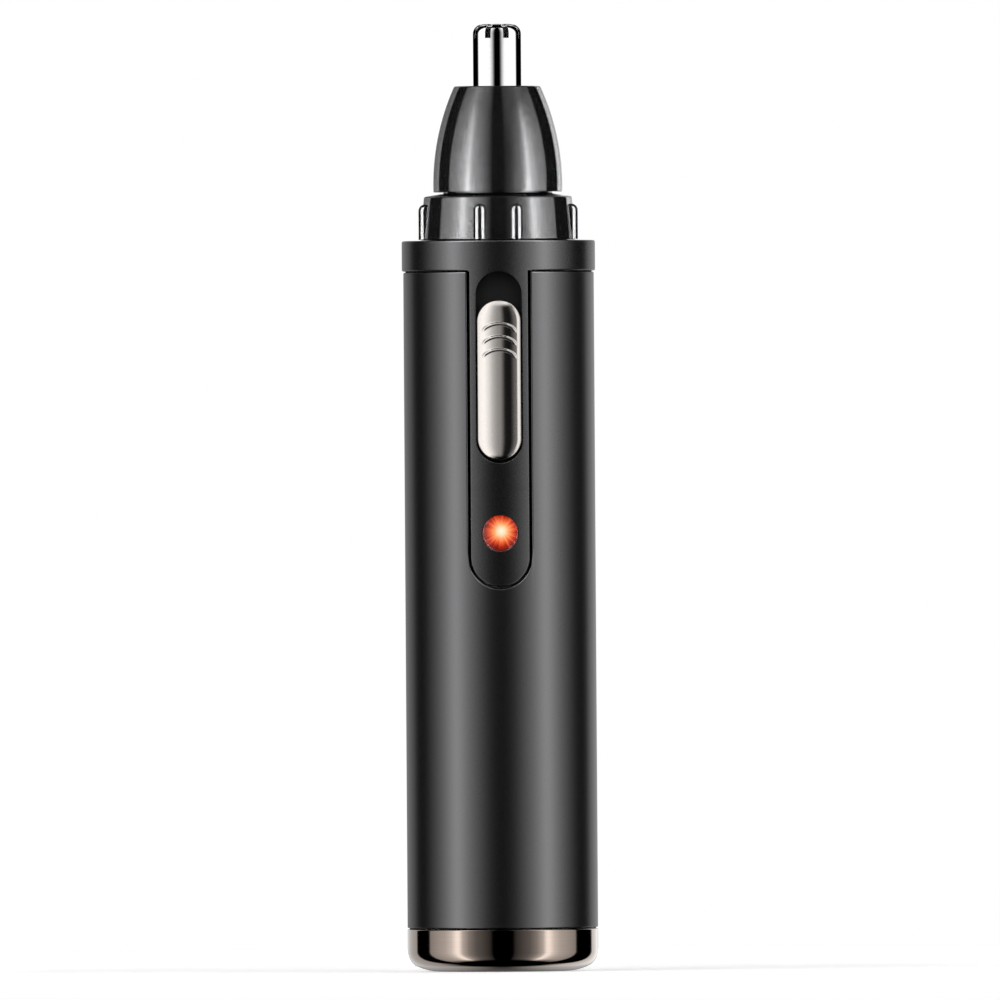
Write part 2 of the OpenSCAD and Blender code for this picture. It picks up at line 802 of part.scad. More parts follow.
module switch_knob() color("#b9b0aa") {
    ridge_top = knob_z + knob_l - ridge_end;
    intersection() {
        front(knob_back, far) pill(knob_w, knob_z, knob_z + knob_l);
        knob_crown_solid(0);
    }
    for (k = [0:ridge_count - 1]) intersection() {
        front(knob_back + ridge_root, far) ridge_outline(ridge_top - k * ridge_pitch);
        knob_crown_solid(ridge_h);
    }
    for (way = [-1, 1]) translate([0, 0, lever_z + way * (lever_h / 2 + fit + prong_t / 2) - prong_t / 2]) {
        translate([-prong_w / 2, -knob_back - eps, 0]) cube([prong_w, knob_back + eps - prong_y, prong_t]);
        translate([-hook_w / 2, -hook_y, 0]) cube([hook_w, hook_y - prong_y, prong_t]);
    }
}

// The drive

module motor_can() color("#c2c2c4") {
    low = motor_z + bell_h;
    difference() {
        union() {
            translate([0, 0, low]) linear_extrude(motor_top - low) motor_outline(0);
            translate([0, 0, motor_top - eps]) cylinder(r = nose_r, h = bulkhead_t + eps);
        }
        translate([0, 0, low - eps]) linear_extrude(motor_top - low - can_top + eps) motor_outline(can_wall);
        translate([0, 0, low]) cylinder(r = bush_r, h = far);
    }
}

module motor_end_bell() color("#e8e4da") {
    difference() {
        translate([0, 0, motor_z]) linear_extrude(bell_h) motor_outline(0);
        translate([0, 0, motor_z - eps]) cylinder(r = bush_r, h = far);
        for (side = [-1, 1]) translate([side * terminal_x, 0, motor_z])
            cube([terminal_w + 2 * fit, terminal_t + 2 * fit, far], center = true);
    }
}

module motor_magnets() color("#4a4a4e") {
    low = motor_z + bell_h + magnet_end;
    high = motor_top - can_wall - magnet_end;
    for (side = [0, 180]) rotate([0, 0, side]) translate([0, 0, low])
        linear_extrude(high - low) difference() {
            slice(motor_r - can_wall - run, -magnet_arc / 2, magnet_arc / 2);
            circle(motor_flat / 2 - can_wall - fit);
        }
}

module motor_bushes() color("#b08d57") {
    for (z = [motor_z + bush_in, socket_z - bush_h - bush_out]) translate([0, 0, z]) difference() {
        cylinder(r = bush_r, h = bush_h);
        translate([0, 0, -eps]) cylinder(r = shaft_r + run, h = far);
    }
}

module motor_terminals() color("#c9a45c") {
    low = holder_z - terminal_l;
    for (side = [-1, 1]) translate([side * terminal_x - terminal_w / 2, -terminal_t / 2, low])
        cube([terminal_w, terminal_t, motor_z + bell_h - fit - low]);
}

module motor_holder() color("#303032") {
    difference() {
        intersection() {
            translate([0, 0, holder_z]) cylinder(r = cavity_r - fit, h = holder_t);
            translate([-far, -holder_front, holder_z]) cube([2 * far, holder_front + back_y, holder_t]);
        }
        translate([0, 0, holder_z - eps]) cylinder(r = nose_r, h = far);
        for (side = [-1, 1]) {
            translate([side * terminal_x - terminal_w / 2 - 3 * fit, -terminal_room / 2, holder_z - eps])
                cube([terminal_w + 6 * fit, terminal_room, far]);
            translate([side * boss_x, 0, holder_z - eps]) cylinder(r = screw_r + fit, h = far);
        }
    }
}

module holder_screws() color("#a8a8aa") {
    for (side = [-1, 1]) translate([side * boss_x, 0, holder_z]) screw(holder_t + boss_h - boss_cap);
}

module motor_armature() color("#8a4b2a") {
    core_r = motor_flat / 2 - can_wall - core_gap;
    commutator_z = motor_z + bell_h + commutator_gap;
    core_z = commutator_z + commutator_h;
    core_top = motor_top - can_wall - core_end;
    difference() {
        union() {
            translate([0, 0, core_z]) cylinder(r = core_r, h = core_top - core_z);
            translate([0, 0, commutator_z]) cylinder(r = shaft_r + commutator_wall, h = commutator_h + eps);
        }
        translate([0, 0, motor_z]) cylinder(r = shaft_r, h = far);
        for (a = [60:120:300]) rotate([0, 0, a])
            translate([core_r, 0, core_z - eps]) cylinder(r = core_slot_r, h = far);
    }
}

module motor_shaft() color("#d6d6d8") {
    low = motor_z + shaft_end;
    translate([0, 0, low]) cylinder(r = shaft_r, h = drive_z + drive_h - shaft_stop - low);
}

module drive_coupling() color("#e8e4da") {
    difference() {
        union() {
            translate([0, 0, drive_z]) cylinder(r = drive_r, h = drive_h);
            translate([-dog_l / 2, -dog_w / 2, drive_z + drive_h - eps]) cube([dog_l, dog_w, dog_h + eps]);
        }
        translate([0, 0, drive_z - eps]) cylinder(r = shaft_r, h = drive_h - shaft_stop + eps);
    }
}

module spindle() color("#e8e4da") {
    top = blade_top - blade_l;
    difference() {
        union() {
            translate([0, 0, fork_z]) cylinder(r = fork_r, h = fork_h);
            translate([0, 0, fork_z]) cylinder(r = spindle_r, h = top - fork_z);
            translate([0, 0, shoulder_z]) cylinder(r = spring_r + spring_wire, h = shoulder_h);
            translate([0, 0, carrier_z]) cylinder(r = blade_hub_r, h = top - carrier_z);
        }
        translate([-far, -dog_w / 2 - fit, fork_z - eps]) cube([2 * far, dog_w + 2 * fit, dog_h + eps]);
        translate([0, 0, clip_z - fit]) difference() {
            cylinder(r = fork_r + eps, h = clip_t + 2 * fit);
            translate([0, 0, -eps]) cylinder(r = spindle_r - clip_cut, h = far);
        }
        translate([0, 0, top - tang_l - fit]) cylinder(r = tang_r + run, h = far);
    }
}

module spindle_clip() color("#a8a8aa") {
    translate([0, 0, clip_z]) difference() {
        cylinder(r = spindle_bush_r + clip_w, h = clip_t);
        translate([0, 0, -eps]) cylinder(r = spindle_r - clip_cut + run, h = far);
        translate([0, -spindle_r + 2 * clip_cut, -eps]) cube([far, 2 * (spindle_r - 2 * clip_cut), far]);
    }
}

module cutter_spring() color("#b4b4b6") {
    swept(spring_line, spring_wire / 2, spring_sides, [0, 0, 1]);
}

module cutter_blade() color("#d0d0d2") {
    low = blade_top - blade_l;
    for (turn = [0, 90]) rotate([90, 0, turn]) translate([0, 0, -blade_t / 2]) linear_extrude(blade_t)
        for (flip = [0, 1]) mirror([flip, 0])
            turned_bar(-eps, blade_r, low, blade_top, 0, tip_edge - tip_wall - blade_gap);
    translate([0, 0, low]) cylinder(r = blade_hub_r, h = blade_base_t);
    translate([0, 0, low - tang_l]) cylinder(r = tang_r, h = tang_l + eps);
}

// The head

module head_base() color("#18181a") {
    difference() {
        union() {
            rotate_extrude() ring_outline();
            translate([0, 0, crown_z - eps]) cylinder(r = neck_r, h = neck_h + eps);
            translate([0, 0, spigot_z]) cylinder(r = spigot_r, h = ring_z - spigot_z + eps);
            for (k = [0:rib_pairs - 1], way = [-1, 1])
                rotate([0, 0, 360 * k / rib_pairs + way * rib_spread]) grip_rib();
            for (k = [0:lug_count - 1]) rotate([0, 0, 90 + 360 * k / lug_count])
                translate([0, 0, lug_z]) linear_extrude(lug_t) slice(lug_r, -lug_arc / 2, lug_arc / 2);
        }
        translate([0, 0, spigot_z - eps]) cylinder(r = spigot_r - spigot_wall, h = web_z - spigot_z + eps);
        translate([0, 0, web_top]) cylinder(r = neck_in, h = far);
        translate([0, 0, web_z - eps]) cylinder(r = spindle_bush_r + run, h = far);
        rotate_extrude() translate([seal_ring_r - seal_r - run, seal_z - seal_r - fit])
            square([2 * seal_r + lead_in, 2 * (seal_r + fit)]);
    }
}

// The ring's outline: a tapered wall under a low crown
module ring_outline() {
    polygon([[0, ring_z], [ring_r, ring_z], [ring_top_r, ring_top], [neck_r, crown_z], [0, crown_z]]);
}

// A round-topped grip rib on the front of the ring
module grip_rib() {
    intersection() {
        translate([0, 0, ring_z]) cylinder(r = rib_r, h = ring_h);
        front(ring_top_r - embed, far) pill(rib_w, ring_z - rib_w, ring_z + rib_l);
    }
}

module spindle_bush() color("#b08d57") {
    difference() {
        union() {
            translate([0, 0, spindle_bush_z])
                cylinder(r = spindle_bush_r, h = web_top - spindle_bush_z + eps);
            translate([0, 0, web_top]) cylinder(r = bush_flange_r, h = bush_flange_t);
        }
        translate([0, 0, spindle_bush_z - eps]) cylinder(r = spindle_r + run, h = far);
    }
}

module cover_seal() color("#2a2a2c") {
    translate([0, 0, seal_z]) rotate_extrude() translate([seal_ring_r, 0]) circle(seal_r);
}

module cutter_cover() color("#18181a") {
    difference() {
        rotate_extrude() intersection() {
            translate([0, cover_z]) square([cone_r + lead_in, cone_h]);
            translate([cone_r - cone_arc, cone_z]) circle(cone_arc, $fn = 720);
        }
        translate([0, 0, cover_z - eps]) cylinder(r = bore_r, h = bore_top - cover_z + eps);
        translate([0, 0, bore_top - eps]) cylinder(r1 = bore_r, r2 = seat_r, h = retainer_z - bore_top + eps);
        translate([0, 0, retainer_z - eps]) cylinder(r = seat_r, h = retainer_h + flange_t + eps);
        translate([0, 0, cover_z]) cylinder(r = tip_r + run, h = far);
    }
}

module tip_retainer() color("#303032") {
    translate([0, 0, retainer_z]) difference() {
        cylinder(r = flange_r, h = retainer_h);
        translate([0, 0, -eps]) cylinder(r = tip_in, h = far);
    }
}

module outer_cutter() color("#e2e2e4") {
    difference() {
        rotate_extrude() difference() {
            union() {
                turned_bar(0, tip_r, flange_z, tip_top, 0, tip_edge);
                translate([0, flange_z]) square([flange_r, flange_t]);
            }
            turned_bar(-eps, tip_in, flange_z - eps, tip_top - tip_wall, 0, tip_edge - tip_wall);
        }
        for (k = [0:slot_count - 1]) rotate([0, 0, 360 * (k + 0.5) / slot_count - 90])
            translate([slot_hub_r, -slot_w / 2, tip_top - slot_l]) cube([far, slot_w, slot_l + 1]);
    }
}

// The leads

module positive_leads() color("#b3261e") {
    swept(positive_route, lead_r, lead_sides, [1, 0, 0]);
    swept(charge_route(-1, 0), lead_r, lead_sides, [1, 0.3, 0]);
    swept(motor_route(-1), lead_r, lead_sides, [1, 0, 0]);
}

module negative_leads() color("#1a1a1c") {
    swept(negative_route, lead_r, lead_sides, [1, 0.3, 0]);
    swept(charge_route(1, solder_x), lead_r, lead_sides, [1, -0.3, 0]);
    swept(motor_route(1), lead_r, lead_sides, [1, 0, 0]);
}

outer_sleeve();
front_collar();
inner_frame();
end_cap();
charging_socket();
socket_rim();
socket_pin();
battery_pad();
battery_tabs();
battery_cell();
circuit_board();
board_components();
board_screws();
led_chip();
led_lens();
switch_case();
switch_lever();
switch_knob();
motor_can();
motor_end_bell();
motor_magnets();
motor_bushes();
motor_terminals();
motor_holder();
holder_screws();
motor_armature();
motor_shaft();
drive_coupling();
spindle();
spindle_clip();
cutter_spring();
cutter_blade();
head_base();
spindle_bush();
cover_seal();
cutter_cover();
tip_retainer();
outer_cutter();
positive_leads();
negative_leads();
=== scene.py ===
"""Nose hair trimmer: the looks of its shells, switch, light and cutting head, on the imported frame.

Metres, Z up. The switch faces -Y, and the trimmer stands on its foot at z = 0.
"""

import json
import math

import bpy
import numpy as np
from bpy.props import FloatProperty, FloatVectorProperty, IntProperty, PointerProperty
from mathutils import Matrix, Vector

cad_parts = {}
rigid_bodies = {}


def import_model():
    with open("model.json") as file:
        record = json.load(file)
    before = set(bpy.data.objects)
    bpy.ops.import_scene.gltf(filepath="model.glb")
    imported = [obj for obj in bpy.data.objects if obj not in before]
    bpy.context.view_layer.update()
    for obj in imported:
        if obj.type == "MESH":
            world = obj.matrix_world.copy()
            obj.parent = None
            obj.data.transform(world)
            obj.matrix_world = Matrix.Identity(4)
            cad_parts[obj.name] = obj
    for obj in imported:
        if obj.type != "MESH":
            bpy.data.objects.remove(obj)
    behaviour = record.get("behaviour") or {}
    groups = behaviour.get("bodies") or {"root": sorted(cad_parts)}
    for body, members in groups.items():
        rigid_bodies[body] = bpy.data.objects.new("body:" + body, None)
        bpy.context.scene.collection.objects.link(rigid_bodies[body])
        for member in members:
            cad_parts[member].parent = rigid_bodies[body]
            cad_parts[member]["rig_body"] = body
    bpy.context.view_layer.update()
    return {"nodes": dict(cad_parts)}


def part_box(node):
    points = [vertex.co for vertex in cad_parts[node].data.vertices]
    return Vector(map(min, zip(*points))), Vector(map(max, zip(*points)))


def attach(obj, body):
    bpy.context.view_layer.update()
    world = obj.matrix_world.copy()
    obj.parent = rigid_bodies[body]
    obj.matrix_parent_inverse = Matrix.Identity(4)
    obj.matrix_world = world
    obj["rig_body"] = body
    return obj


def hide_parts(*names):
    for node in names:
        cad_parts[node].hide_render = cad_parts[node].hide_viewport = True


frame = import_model()

bl_info = {
    "name": "Nose hair trimmer",
    "version": (1, 0, 0),
    "blender": (4, 5, 0),
    "location": "View3D > Sidebar > Trimmer",
    "description": "Builds the pieces of a nose hair trimmer and its photo stage",
    "category": "Object",
}

MM = 0.001
WELD = 1e-7  # points this close are one point
SMOOTH = -1.0  # marks a point of a curve among the corners of an outline
COLUMNS = 256  # faces round a turned piece
FEW_COLUMNS = 96  # faces round a small one
SEAL_COLUMNS = 160  # faces round the O-ring
CREASE = math.radians(35.0)  # sharper edges stay sharp in the shading
BEVELLED = math.radians(40.0)  # sharper edges are rounded by a bevel

# Roundings of the edges that no property sets.
HAIR, FINE, SMALL, ROUND, FULL = 0.05 * MM, 0.1 * MM, 0.15 * MM, 0.2 * MM, 0.3 * MM
FIT = 0.03 * MM  # clearance of pieces that are pressed together


def length(name, text, millimetres):
    """A size that a user may change."""
    size = millimetres * MM
    return FloatProperty(name=name, description=text, default=size, unit="LENGTH", precision=5)


def tint(name, text, default):
    """A colour that a user may change."""
    return FloatVectorProperty(
        name=name, description=text, default=default, subtype="COLOR", size=3, min=0.0, max=1.0
    )


def share(name, text, default):
    """A number from 0 to 1 that a user may change."""
    return FloatProperty(
        name=name, description=text, default=default, subtype="FACTOR", min=0.0, max=1.0
    )


def angle(name, text, degrees):
    """An angle that a user may change."""
    return FloatProperty(name=name, description=text, default=math.radians(degrees), subtype="ANGLE")


def how_many(name, text, default, least, most):
    """A number of like forms that a user may change."""
    return IntProperty(name=name, description=text, default=default, min=least, max=most)


def reach(node):
    """Half width, lowest height and highest height of a node."""
    low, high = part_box(node)
    return high.x, low.z, high.z


SLEEVE_R, SLEEVE_LOW, SLEEVE_TOP = reach("outer_sleeve")
COLLAR_R, TONGUE_LOW, COLLAR_TOP = reach("front_collar")
CAP_R, FOOT_Z, PLUG_TOP = reach("end_cap")
KNOB_HALF, KNOB_LOW, KNOB_TOP = reach("switch_knob")
FLANGE_R, LENS_LOW, LENS_TOP = reach("led_lens")
LENS_Z = (LENS_LOW + LENS_TOP) / 2
HEAD_LOW, NECK_TOP = reach("head_base")[1:]
CONE_R, CONE_LOW, CONE_TOP = reach("cutter_cover")
TIP_FLANGE_R, TIP_LOW, TIP_TOP = reach("outer_cutter")
RIM_R, RIM_LOW, _ = reach("socket_rim")
SPRING_R, SPRING_LOW, SPRING_TOP = reach("cutter_spring")
SEAL_R, SEAL_LOW, SEAL_TOP = reach("cover_seal")

# The bayonet: turn of its first entry, half of an entry's angle, and turns of the lugs.
ENTRY_TURN, ENTRY_HALF = math.radians(210.0), math.radians(14.0)
LUG_TURNS = 180.0, 300.0, 60.0

SLOT_EDGE = 0.03 * MM  # rounding of the edges of the tip's slots


class HandleSizes(bpy.types.PropertyGroup):
    """Sizes of the sleeve, the collar with its tongue, and the end cap."""

    sleeve_wall: length("Sleeve wall", "Wall of the sleeve", 0.8)
    edge: length("Edge", "Rounding of the handle's outer edges", 0.25)
    seam: length("Seam", "Gap between the tongue and the sleeve", 0.4)
    end_seam: length("End seam", "Gap at each end of the sleeve", 0.16)
    # Depth of the black rings of painted shade in the sleeve's end seams; they are no real seals.
    seal_depth: length("Seal depth", "Depth of the dark seal in the sleeve's end seams", 0.3)
    tongue_w: length("Tongue width", "Width of the collar's tongue", 8.3)
    tongue_back: length("Tongue back", "Depth of the tongue's flat back from the axis", 11.3)
    tongue_edge: length("Tongue edge", "Rounding of the tongue's edges", 0.12)
    tongue_ease: length("Tongue ease", "Height over which the tongue eases out to the collar", 9.0)
    recess_w: length("Recess width", "Width of the switch's recess", 6.54)
    recess_low: length("Recess low end", "Height of the recess's lower end", 71.95)
    recess_top: length("Recess top end", "Height of the recess's upper end", 99.1)
    recess_floor: length("Recess floor", "Depth of the recess's floor from the axis", 12.2)
    lever_w: length("Lever slot width", "Width of the slot in the recess's floor", 2.4)
    lever_low: length("Lever slot low end", "Height of the slot's lower end", 79.05)
    lever_top: length("Lever slot top end", "Height of the slot's upper end", 87.25)
    socket_r: length("Socket radius", "Radius of the head's socket in the collar", 9.85)
    entry_r: length("Entry radius", "Radius of the bayonet's entries", 10.85)
    foot_r: length("Foot radius", "Radius of the end cap's flat foot", 9.0)
    cap_side_r: length("Cap side rounding", "Rounding of the end cap's side", 2.4)
    cap_under_r: length("Cap underside rounding", "Rounding of the end cap's underside", 7.3)
    plug_r: length("Plug radius", "Radius of the end cap's plug", 12.6)
    plug_wall: length("Plug wall", "Wall of the end cap's plug", 1.2)
    cap_floor: length("Cap floor", "Thickness of the end cap's floor", 1.6)
    jack_r: length("Jack radius", "Radius of the bore for the charging socket", 3.5)
    jack_wall: length("Jack wall", "Wall of the boss round the charging socket", 1.2)
    jack_h: length("Jack height", "Height of the boss round the charging socket", 4.0)
    mouth_r: length("Mouth radius", "Radius of the charging socket's mouth", 1.8)
    rim_top: length("Rim top", "Height of the charging socket's rim", 6.77)


class SwitchSizes(bpy.types.PropertyGroup):
    """Sizes of the switch knob and the light's lens."""

    knob_back: length("Knob back", "Depth of the knob's back from the axis", 12.3)
    knob_front: length("Knob front", "Depth of the knob's crown from the axis", 14.35)
    crown_r: length("Crown radius", "Radius of the knob's crowned face", 5.2)
    knob_edge: length("Knob edge", "Rounding of the knob's edge", 0.4)
    ridge_r: length("Ridge radius", "Radius of a grip ridge's arch", 3.4)
    ridge_w: length("Ridge width", "Width of a grip ridge", 0.64)
    ridge_h: length("Ridge height", "Height of a grip ridge", 0.2)
    ridge_span: length("Ridge span", "How far a grip ridge reaches across the knob", 5.0)
    ridge_pitch: length("Ridge pitch", "Distance between grip ridges", 1.83)
    ridge_end: length("Ridge end", "Distance from the knob's end to the first ridge", 3.1)
    ridge_count: how_many("Ridges", "Number of grip ridges", 3, 1, 5)
    prong_w: length("Prong width", "Width of the prongs behind the knob", 2.2)
    prong_t: length("Prong thickness", "Thickness of a prong", 1.2)
    prong_gap: length("Prong gap", "Gap between the prongs, for the lever", 2.0)
    prong_end: length("Prong end", "Depth of the prongs' ends from the axis", 10.1)
    prong_up: length("Prong height", "Height of the prongs' middle above the knob's end", 9.0)
    lens_r: length("Lens radius", "Radius of the light's lens", 2.5)
    lens_hole: length("Lens clearance", "Clearance round the lens", 0.03)
    lens_dome: length("Lens dome", "Radius of the lens's domed face", 10.0)
    lens_stem: length("Lens stem", "Radius of the lens's stem", 1.9)
    lens_flange: length("Lens flange", "Thickness of the lens's flange", 0.8)


class HeadSizes(bpy.types.PropertyGroup):
    """Sizes of the ribbed base, the cover and the steel tip."""

    ring_low: length("Ring bottom", "Height of the ribbed ring's bottom", 103.6)
    ring_top: length("Ring top", "Height of the ribbed ring's upper edge", 109.75)
    ring_r: length("Ring radius", "Radius of the ribbed ring at its bottom", 11.0)
    ring_top_r: length("Ring top radius", "Radius of the ribbed ring at its upper edge", 10.5)
    ring_edge: length("Ring edge", "Rounding of the ring's upper edge", 0.3)
    crown_z: length("Ring crown", "Height of the ring's top at the neck", 110.2)
    rib_w: length("Rib width", "Width of a rib", 1.85)
    rib_crest: length("Rib crest", "Depth of the ribs' crests from the axis", 11.28)
    rib_foot: length("Rib foot", "Depth of the ribs' feet in the ring's wall from the axis", 9.6)
    rib_side: length("Rib offset", "Distance of a rib's middle from the middle of its pair", 2.6)
    rib_top: length("Rib top", "Height of a rib's round top", 108.68)
    neck_r: length("Neck radius", "Radius of the neck that the cover sits on", 7.75)
    neck_wall: length("Neck wall", "Wall of the neck", 1.3)
    groove_r: length("Groove radius", "Radius of the O-ring's groove", 6.89)
    web_low: length("Web bottom", "Height of the web's underside", 107.6)
    web_top: length("Web top", "Height of the web's upper side", 109.6)
    web_bore: length("Web bore", "Radius of the bush's hole in the web", 3.03)
    spigot_r: length("Spigot radius", "Radius of the spigot in the collar", 9.75)
    spigot_wall: length("Spigot wall", "Wall of the spigot", 1.5)
    lug_r: length("Lug radius", "Radius of the bayonet lugs", 10.75)
    lug_low: length("Lug bottom", "Height of the bayonet lugs' underside", 97.6)
    lug_h: length("Lug height", "Height of a bayonet lug", 1.4)
    lug_arc: angle("Lug arc", "Angle that a bayonet lug takes up", 26.0)
    cone_top_r: length("Cover top radius", "Radius of the cover at its top", 6.1)
    cone_skirt: length("Cover skirt", "Height of the cover's widest line", 1.0)
    cone_edge: length("Cover edge", "Rounding of the cover's upper edge", 0.3)
    bore_r: length("Cover bore", "Radius of the bore that fits the neck", 7.85)
    bore_top: length("Bore top", "Height of the bore's upper end", 114.8)
    seat_r: length("Seat radius", "Radius of the retainer's seat in the cover", 4.7)
    seat_low: length("Seat bottom", "Height of the seat's lower end", 121.2)
    lid: length("Lid", "Thickness of the cover's top", 1.2)
    tip_r: length("Tip radius", "Radius of the steel tip", 3.4)
    tip_wall: length("Tip wall", "Wall of the steel tip", 0.25)
    tip_edge: length("Tip edge", "Rounding of the tip's top edge", 1.4)
    tip_flange: length("Tip flange", "Thickness of the tip's flange", 0.4)
    slot_count: how_many("Slots", "Number of slots in the tip", 8, 6, 10)
    slot_w: length("Slot width", "Width of a slot", 0.85)
    slot_l: length("Slot depth", "Depth of a slot from the tip's top", 2.0)
    slot_hub: length("Slot hub", "Radius of the disc inside the slots", 1.1)
    wire: length("Spring wire", "Diameter of the spring's wire", 0.4)
    turns: how_many("Spring turns", "Turns of the cutter's spring", 5, 3, 6)


class FinishColours(bpy.types.PropertyGroup):
    """Colours of the finishes that show."""

    sleeve: tint("Sleeve", "Satin black of the sleeve", (0.084, 0.084, 0.086))
    collar: tint("Collar", "Satin black of the collar and its tongue", (0.084, 0.084, 0.086))
    gloss: tint("Gloss black", "Gloss black of the ring and the cover", (0.138, 0.138, 0.14))
    bronze: tint("Bronze chrome", "Bronze chrome of the end cap", (0.21, 0.173, 0.15))
    nickel: tint("Pearl nickel", "Pearl nickel of the knob", (0.66, 0.62, 0.585))
    steel: tint("Cutter steel", "Polished steel of the tip and the blade", (0.86, 0.86, 0.87))
    glow_core: tint("Light core", "Colour at the middle of the light", (1.0, 0.9, 0.7))
    glow_amber: tint("Light amber", "Colour between the light's core and its warm part", (1.0, 0.7, 0.4))
    glow_warm: tint("Light warmth", "Colour round the middle of the light", (1.0, 0.37, 0.13))
    glow_red: tint("Light red", "Colour outside the warm part of the light", (0.82, 0.12, 0.035))
    glow_edge: tint("Light edge", "Colour at the rim of the light", (0.42, 0.02, 0.004))


class StudioSettings(bpy.types.PropertyGroup):
    """The camera's place and the light of the stage."""

    distance: length("Distance", "Distance of the camera from the trimmer's axis", 5000.0)
    view_w: length("View width", "Width of the view at the trimmer's axis", 141.73)
    aim: length("Aim", "Height of the view's middle", 66.75)
    roll: angle("Roll", "How far the camera leans to its right", 0.386)
    wall_r: length("Wall radius", "Radius of the light panels' wall", 300.0)
    wall_top: length("Wall top", "Height of the wall's upper end", 1100.0)
    knob_wall_top: length("Knob wall top", "Height of the knob's own wall's upper end", 850.0)
    wall_low: length("Wall bottom", "Height of the wall's lower end", -1400.0)
    panel_low: length("Panel bottom", "Height of the light panels' lower ends", -520.0)
    panel_fade: length("Panel fade", "Height over which the light panels' lower ends fade", 220.0)
    floor_r: length("Floor radius", "Radius of the floor", 240.0)
    panel: FloatProperty(
        name="Panel light", description="Light of a panel's bright strip", default=4.4, min=0.0
    )
    ambient: share("Ambient", "Light of the surroundings on matt surfaces", 0.35)
    floor_glow: share("Floor glow", "Share of the floor's white that no shadow takes away", 0.48)
    floor_colour: share("Floor colour", "Grey level of the floor", 0.8)


def quads(rows, cols, close_rows=False, close_cols=False):
    """Faces of a grid of points kept row by row. A closed direction joins its last line to its first."""
    i = np.arange(rows if close_rows else rows - 1)[:, None]
    j = np.arange(cols if close_cols else cols - 1)[None, :]
    i_next, j_next = (i + 1) % rows, (j + 1) % cols
    corners = [i * cols + j, i * cols + j_next, i_next * cols + j_next, i_next * cols + j]
    return np.stack(corners, axis=-1).reshape(-1, 4)


def join(*shells):
    """One list of points and faces from several."""
    starts = np.cumsum([0] + [len(points) for points, _ in shells])
    points = np.concatenate([points for points, _ in shells])
    return points, np.concatenate([faces + start for (_, faces), start in zip(shells, starts)])


def weld(points, faces):
    """Equal points become one point."""
    keys = np.round(points / WELD).astype(np.int64)
    _, first, same = np.unique(keys, axis=0, return_index=True, return_inverse=True)
    return points[first], same.reshape(-1)[faces]


def thick(points, faces, offset):
    """Closed wall from an open sheet: the sheet, its copy moved by offset and turned round, and a strip
    of faces along every edge that has a face on one side only."""
    edges = np.concatenate([faces[:, [k, (k + 1) % 4]] for k in range(4)])
    edges = edges[edges[:, 0] != edges[:, 1]]
    _, first, count = np.unique(np.sort(edges, axis=1), axis=0, return_index=True, return_counts=True)
    rim = edges[first[count == 1]]
    back = len(points)
    strip = np.stack([rim[:, 1], rim[:, 0], rim[:, 0] + back, rim[:, 1] + back], axis=1)
    return np.concatenate([points, points + offset]), np.concatenate([faces, faces[:, ::-1] + back, strip])


def arc(centre, radius, start, end, count):
    """Points of a circle from one angle to another, in degrees, as points of a curve that are no corners."""
    a = np.radians(np.linspace(start, end, count))
    x, y = centre
    return np.stack([x + radius * np.cos(a), y + radius * np.sin(a), np.full(count, SMOOTH)], axis=1)


def rounded(*parts, steps=6, flat=0.08 * MM):
    """Closed outline through corners (radius, height, rounding).

    Each corner becomes the circular arc that touches its two edges, written as a rational curve whose
    middle weight is the sine of half the corner's angle. A point just outside each end of the arc keeps
    the shading of the straight stretches flat. Points marked smooth are taken as they are.
    """
    corner = np.concatenate([np.atleast_2d(part) for part in parts])
    point, rounding = corner[:, :2], corner[:, 2:]
    back = np.roll(point, 1, axis=0) - point
    ahead = np.roll(point, -1, axis=0) - point
    back_l = np.linalg.norm(back, axis=1, keepdims=True)
    ahead_l = np.linalg.norm(ahead, axis=1, keepdims=True)
    u, v = back / back_l, ahead / ahead_l
    half = 0.5 * np.arccos(np.clip((u * v).sum(axis=1, keepdims=True), -1.0, 1.0))
    touch = np.minimum(np.maximum(rounding, 0.0) / np.tan(half), 0.45 * np.minimum(back_l, ahead_l))
    t = np.linspace(0.0, 1.0, steps + 1)[None, :, None]
    start, end = (u * touch)[:, None], (v * touch)[:, None]
    weight = (1 - t) ** 2 + 2 * np.sin(half)[:, None] * t * (1 - t) + t ** 2
    bend = ((1 - t) ** 2 * start + t ** 2 * end) / weight
    before = (u * np.minimum(touch + flat, 0.49 * back_l))[:, None]
    after = (v * np.minimum(touch + flat, 0.49 * ahead_l))[:, None]
    offset = np.concatenate([before, bend, after], axis=1)
    keep = np.repeat(rounding >= 0.0, offset.shape[1], axis=1)
    keep[:, 1] = True
    return (point[:, None] + offset)[keep]


def circle_angles(count):
    """Evenly spread angles of a whole turn."""
    return np.linspace(0.0, 2.0 * np.pi, count, endpoint=False)


def round_axis(r, a, z):
    """Points by radius, angle from the front and height: x = r sin a, y = -r cos a."""
    r, a, z = np.broadcast_arrays(r, a, z)
    return np.stack([r * np.sin(a), -r * np.cos(a), z], axis=-1).reshape(-1, 3)


def turned(outline, columns=COLUMNS):
    """Closed outline (radius, height) carried round the Z axis."""
    points = round_axis(outline[:, :1], circle_angles(columns), outline[:, 1:])
    return points, quads(len(outline), columns, True, True)


def face_front(points, height):
    """Turns a shape that stands on the Z axis to point to the front, with its axis at a height."""
    x, y, z = points.T
    return np.stack([x, -z, height + y], axis=1)


def block(low, high):
    """Closed block between two corners."""
    pick = np.array([[0, 0, 0], [1, 0, 0], [1, 1, 0], [0, 1, 0], [0, 0, 1], [1, 0, 1], [1, 1, 1], [0, 1, 1]])
    faces = [[0, 3, 2, 1], [4, 5, 6, 7], [0, 1, 5, 4], [1, 2, 6, 5], [2, 3, 7, 6], [3, 0, 4, 7]]
    return np.where(pick == 0, np.array(low), np.array(high)), np.array(faces)


